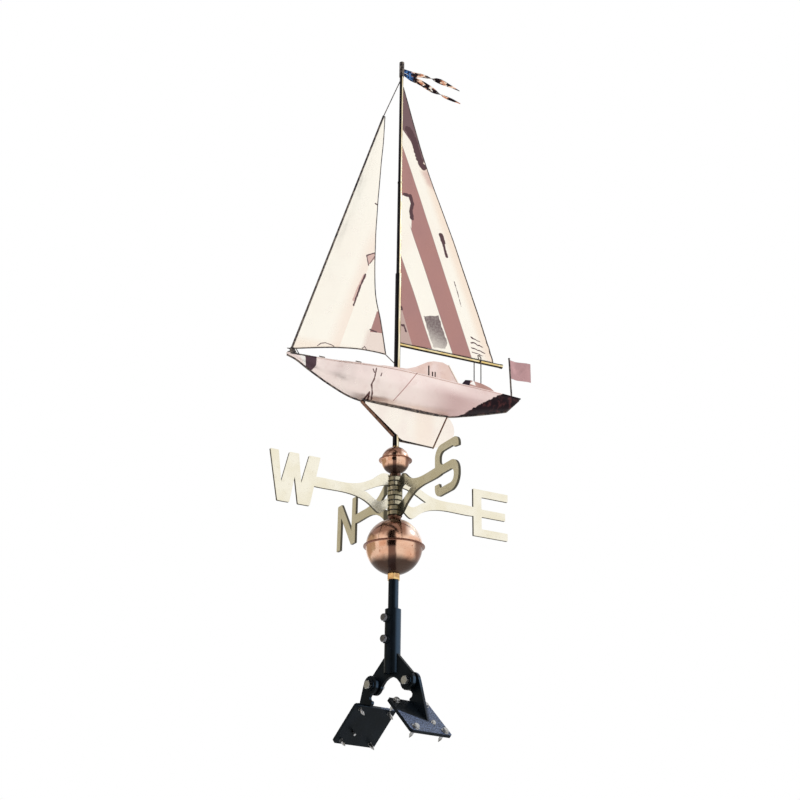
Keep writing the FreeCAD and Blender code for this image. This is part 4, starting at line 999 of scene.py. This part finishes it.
# ---- cast arms, plates and fasteners keep their CAD shape, with broken edges ----
EDGES = {
    "casting_east_west": ("compass_arms", "brass", "casting_ew", 0.9),
    "casting_north_south": ("compass_arms", "brass", "casting_ns", 0.9),
    "ridge_bracket": ("roof_mount", "black_paint", "black", 0.5),
    "near_foot": ("near_foot", "black_paint", "black", 0.6),
    "far_foot": ("far_foot", "black_paint", "black", 0.6),
    "socket_weld_nuts": ("roof_mount", "black_paint", "black", 0.3),
    "socket_set_screws": ("roof_mount", "zinc", "dull_zinc", 0.25),
    "pivot_washers": ("roof_mount", "black_paint", "black", 0.25),
    "pivot_nuts": ("roof_mount", "zinc", "zinc", 0.25),
    "pivot_bolts": ("roof_mount", "zinc", "zinc", 0.25),
    "near_lag_screws": ("near_foot", "zinc", "zinc", 0.2),
    "far_lag_screws": ("far_foot", "zinc", "zinc", 0.2),
    "collar_nut": ("pole_stack", "brass", "gold", 0.6),
    "upper_lock_nut": ("pole_stack", "brass", "bronze", 0.4),
    "lower_lock_nut": ("pole_stack", "brass", "bronze", 0.4),
    "cabin": ("yacht", "hull_copper", "deck", 0.35),
    "coaming": ("yacht", "hull_copper", "coaming", 0.3),
    "bow_fitting": ("yacht", "wire", "edge", 0.2),
    "deck_cleats": ("yacht", "wire", "edge", 0.2),
}
PLAIN = {
    "pole": "black", "pivot_spacers": "black", "spindle_rod": "steel", "bearing_ball": "steel",
    "spindle_washer": "gold", "casting_set_screws": "zinc", "spindle_sleeve": "mast", "mast_lower": "mast",
    "mast_upper": "mast", "mast_cap": "edge", "deck": "deck", "windshield_frame": "fin", "keel_fin": "fin",
    "keel_strut": "bronze", "rudder": "fin", "boom": "boom", "boom_cap": "boom", "jib_stay": "edge",
    "forestay": "edge", "jib_sheet_wire": "edge", "boom_crutch": "edge", "flag_staff": "edge",
}


def kept_nodes():
    for node, paint in PLAIN.items():
        obj = frame["nodes"][node]
        for slot in obj.material_slots:
            slot.material = paints[paint]


# ---- build ----
for name, middle in (("large", 255.0), ("small", 428.6)):
    paints[name + "_ball"] = ball_paint(name + "_ball_copper", middle, BALLS[name][0])
    ball(name, False)
    ball(name, True)
mainsail()
jib()
hull()
flag()
streamer("pennant_upper_strip", UPPER, "pennant_upper", 2.5)
streamer("pennant_lower_strip", LOWER, "pennant_lower", -3.0)
for node, (body, slot, paint, bevel) in EDGES.items():
    finished_copy(node, bevel, body, paints[paint])
kept_nodes()


# ---- camera, floor and light ----
FLOOR_Z = -0.42


def camera():
    data = bpy.data.cameras.new("camera")
    data.lens = 54.38
    data.sensor_width = 36.0
    data.clip_start = 0.05
    data.clip_end = 60.0
    obj = bpy.data.objects.new("camera", data)
    scene.collection.objects.link(obj)
    heading = Vector(AHEAD).normalized()
    pitch = math.radians(23.35)
    roll = math.radians(0.85)
    ahead = heading * math.cos(pitch) + Vector((0, 0, math.sin(pitch)))
    right = ahead.cross(Vector((0, 0, 1))).normalized()
    up = right.cross(ahead)
    # Turning the camera anticlockwise turns the picture clockwise.
    up_rolled = up * math.cos(roll) - right * math.sin(roll)
    right_rolled = right * math.cos(roll) + up * math.sin(roll)
    turn = Matrix((right_rolled, up_rolled, -ahead)).transposed()
    obj.matrix_world = Matrix.Translation((-1.4981, -1.6169, -0.3944)) @ turn.to_4x4()
    scene.camera = obj


def key_light():
    data = bpy.data.lights.new("key", "AREA")
    data.shape = "SQUARE"
    data.size = 0.5
    data.energy = 5.0
    data.color = (1.0, 0.98, 0.95)
    obj = bpy.data.objects.new("key", data)
    obj.location = (2.1, -1.3, 2.5)
    obj.rotation_euler = (Vector((0.0, 0.0, 0.45)) - obj.location).to_track_quat("-Z", "Y").to_euler()
    scene.collection.objects.link(obj)


def surroundings():
    """White studio: plain white all round, which the metal reflects between the darker screens."""
    world = bpy.data.worlds.new("studio")
    scene.world = world
    world.use_nodes = True
    tree = world.node_tree
    tree.nodes.clear()
    out = tree.nodes.new("ShaderNodeOutputWorld")
    back = tree.nodes.new("ShaderNodeBackground")
    tree.links.new(back.outputs[0], out.inputs[0])
    back.inputs["Color"].default_value = (1.0, 1.0, 1.0, 1.0)
    back.inputs["Strength"].default_value = 1.0


def screen(name, azimuth, low, high, half_width, colour, distance):
    """Upright screen seen only in reflections. Azimuth is in degrees from +X towards +Y, about the pole."""
    mid = math.radians(azimuth)
    points = []
    for z in (low, high):
        for side in (-1, 1):
            a = mid + side * math.radians(half_width)
            points.append((distance * math.cos(a), distance * math.sin(a), z))
    card(name, points, [(0, 1, 3, 2)], colour)


def floor_card(name, inner, outer, colour):
    """Ring lying just above the floor about the vane, seen only in reflections."""
    points = []
    steps = 24
    for k in range(steps + 1):
        a = 2 * math.pi * k / steps
        points += [(r * math.cos(a), r * math.sin(a), FLOOR_Z + 0.01) for r in (inner, outer)]
    faces = [(2 * k, 2 * k + 1, 2 * k + 3, 2 * k + 2) for k in range(steps)]
    card(name, points, faces, colour)


def card(name, points, faces, colour):
    """Even-coloured sheet that only reflections see."""
    obj = mesh_object(name, points, faces)
    material = bpy.data.materials.new(name)
    material.use_nodes = True
    shader = material.node_tree.nodes["Principled BSDF"]
    shader.inputs["Base Color"].default_value = (0, 0, 0, 1)
    shader.inputs["Specular IOR Level"].default_value = 0.0
    shader.inputs["Roughness"].default_value = 1.0
    shader.inputs["Emission Color"].default_value = (*colour, 1)
    shader.inputs["Emission Strength"].default_value = 1.0
    obj.data.materials.append(material)
    obj.visible_camera = False
    obj.visible_diffuse = False
    obj.visible_shadow = False
    obj.visible_transmission = False


def floor():
    corners = [(x, y, FLOOR_Z) for x, y in ((-30, -30), (30, -30), (30, 30), (-30, 30))]
    obj = mesh_object("floor", corners, [(0, 1, 2, 3)])
    material = bpy.data.materials.new("pale_floor")
    material.use_nodes = True
    shader = material.node_tree.nodes["Principled BSDF"]
    shader.inputs["Base Color"].default_value = (0.90, 0.90, 0.89, 1)
    shader.inputs["Roughness"].default_value = 0.85
    obj.data.materials.append(material)


camera()
surroundings()
floor()
screen("screen_behind_camera", 216.0, -0.40, 5.2, 18.0, (0.010, 0.007, 0.008), 3.4)
screen("screen_left_high", 171.0, 2.5, 5.2, 79.0, (0.012, 0.010, 0.010), 3.9)
floor_card("screen_under", 0.02, 0.13, (0.010, 0.007, 0.008))
screen("screen_far_left", 112.0, -0.3, 2.3, 34.0, (0.47, 0.43, 0.33), 3.6)
screen("screen_left", 180.0, -0.3, 1.6, 16.0, (0.80, 0.62, 0.52), 3.7)
key_light()
scene.view_settings.view_transform = "Standard"
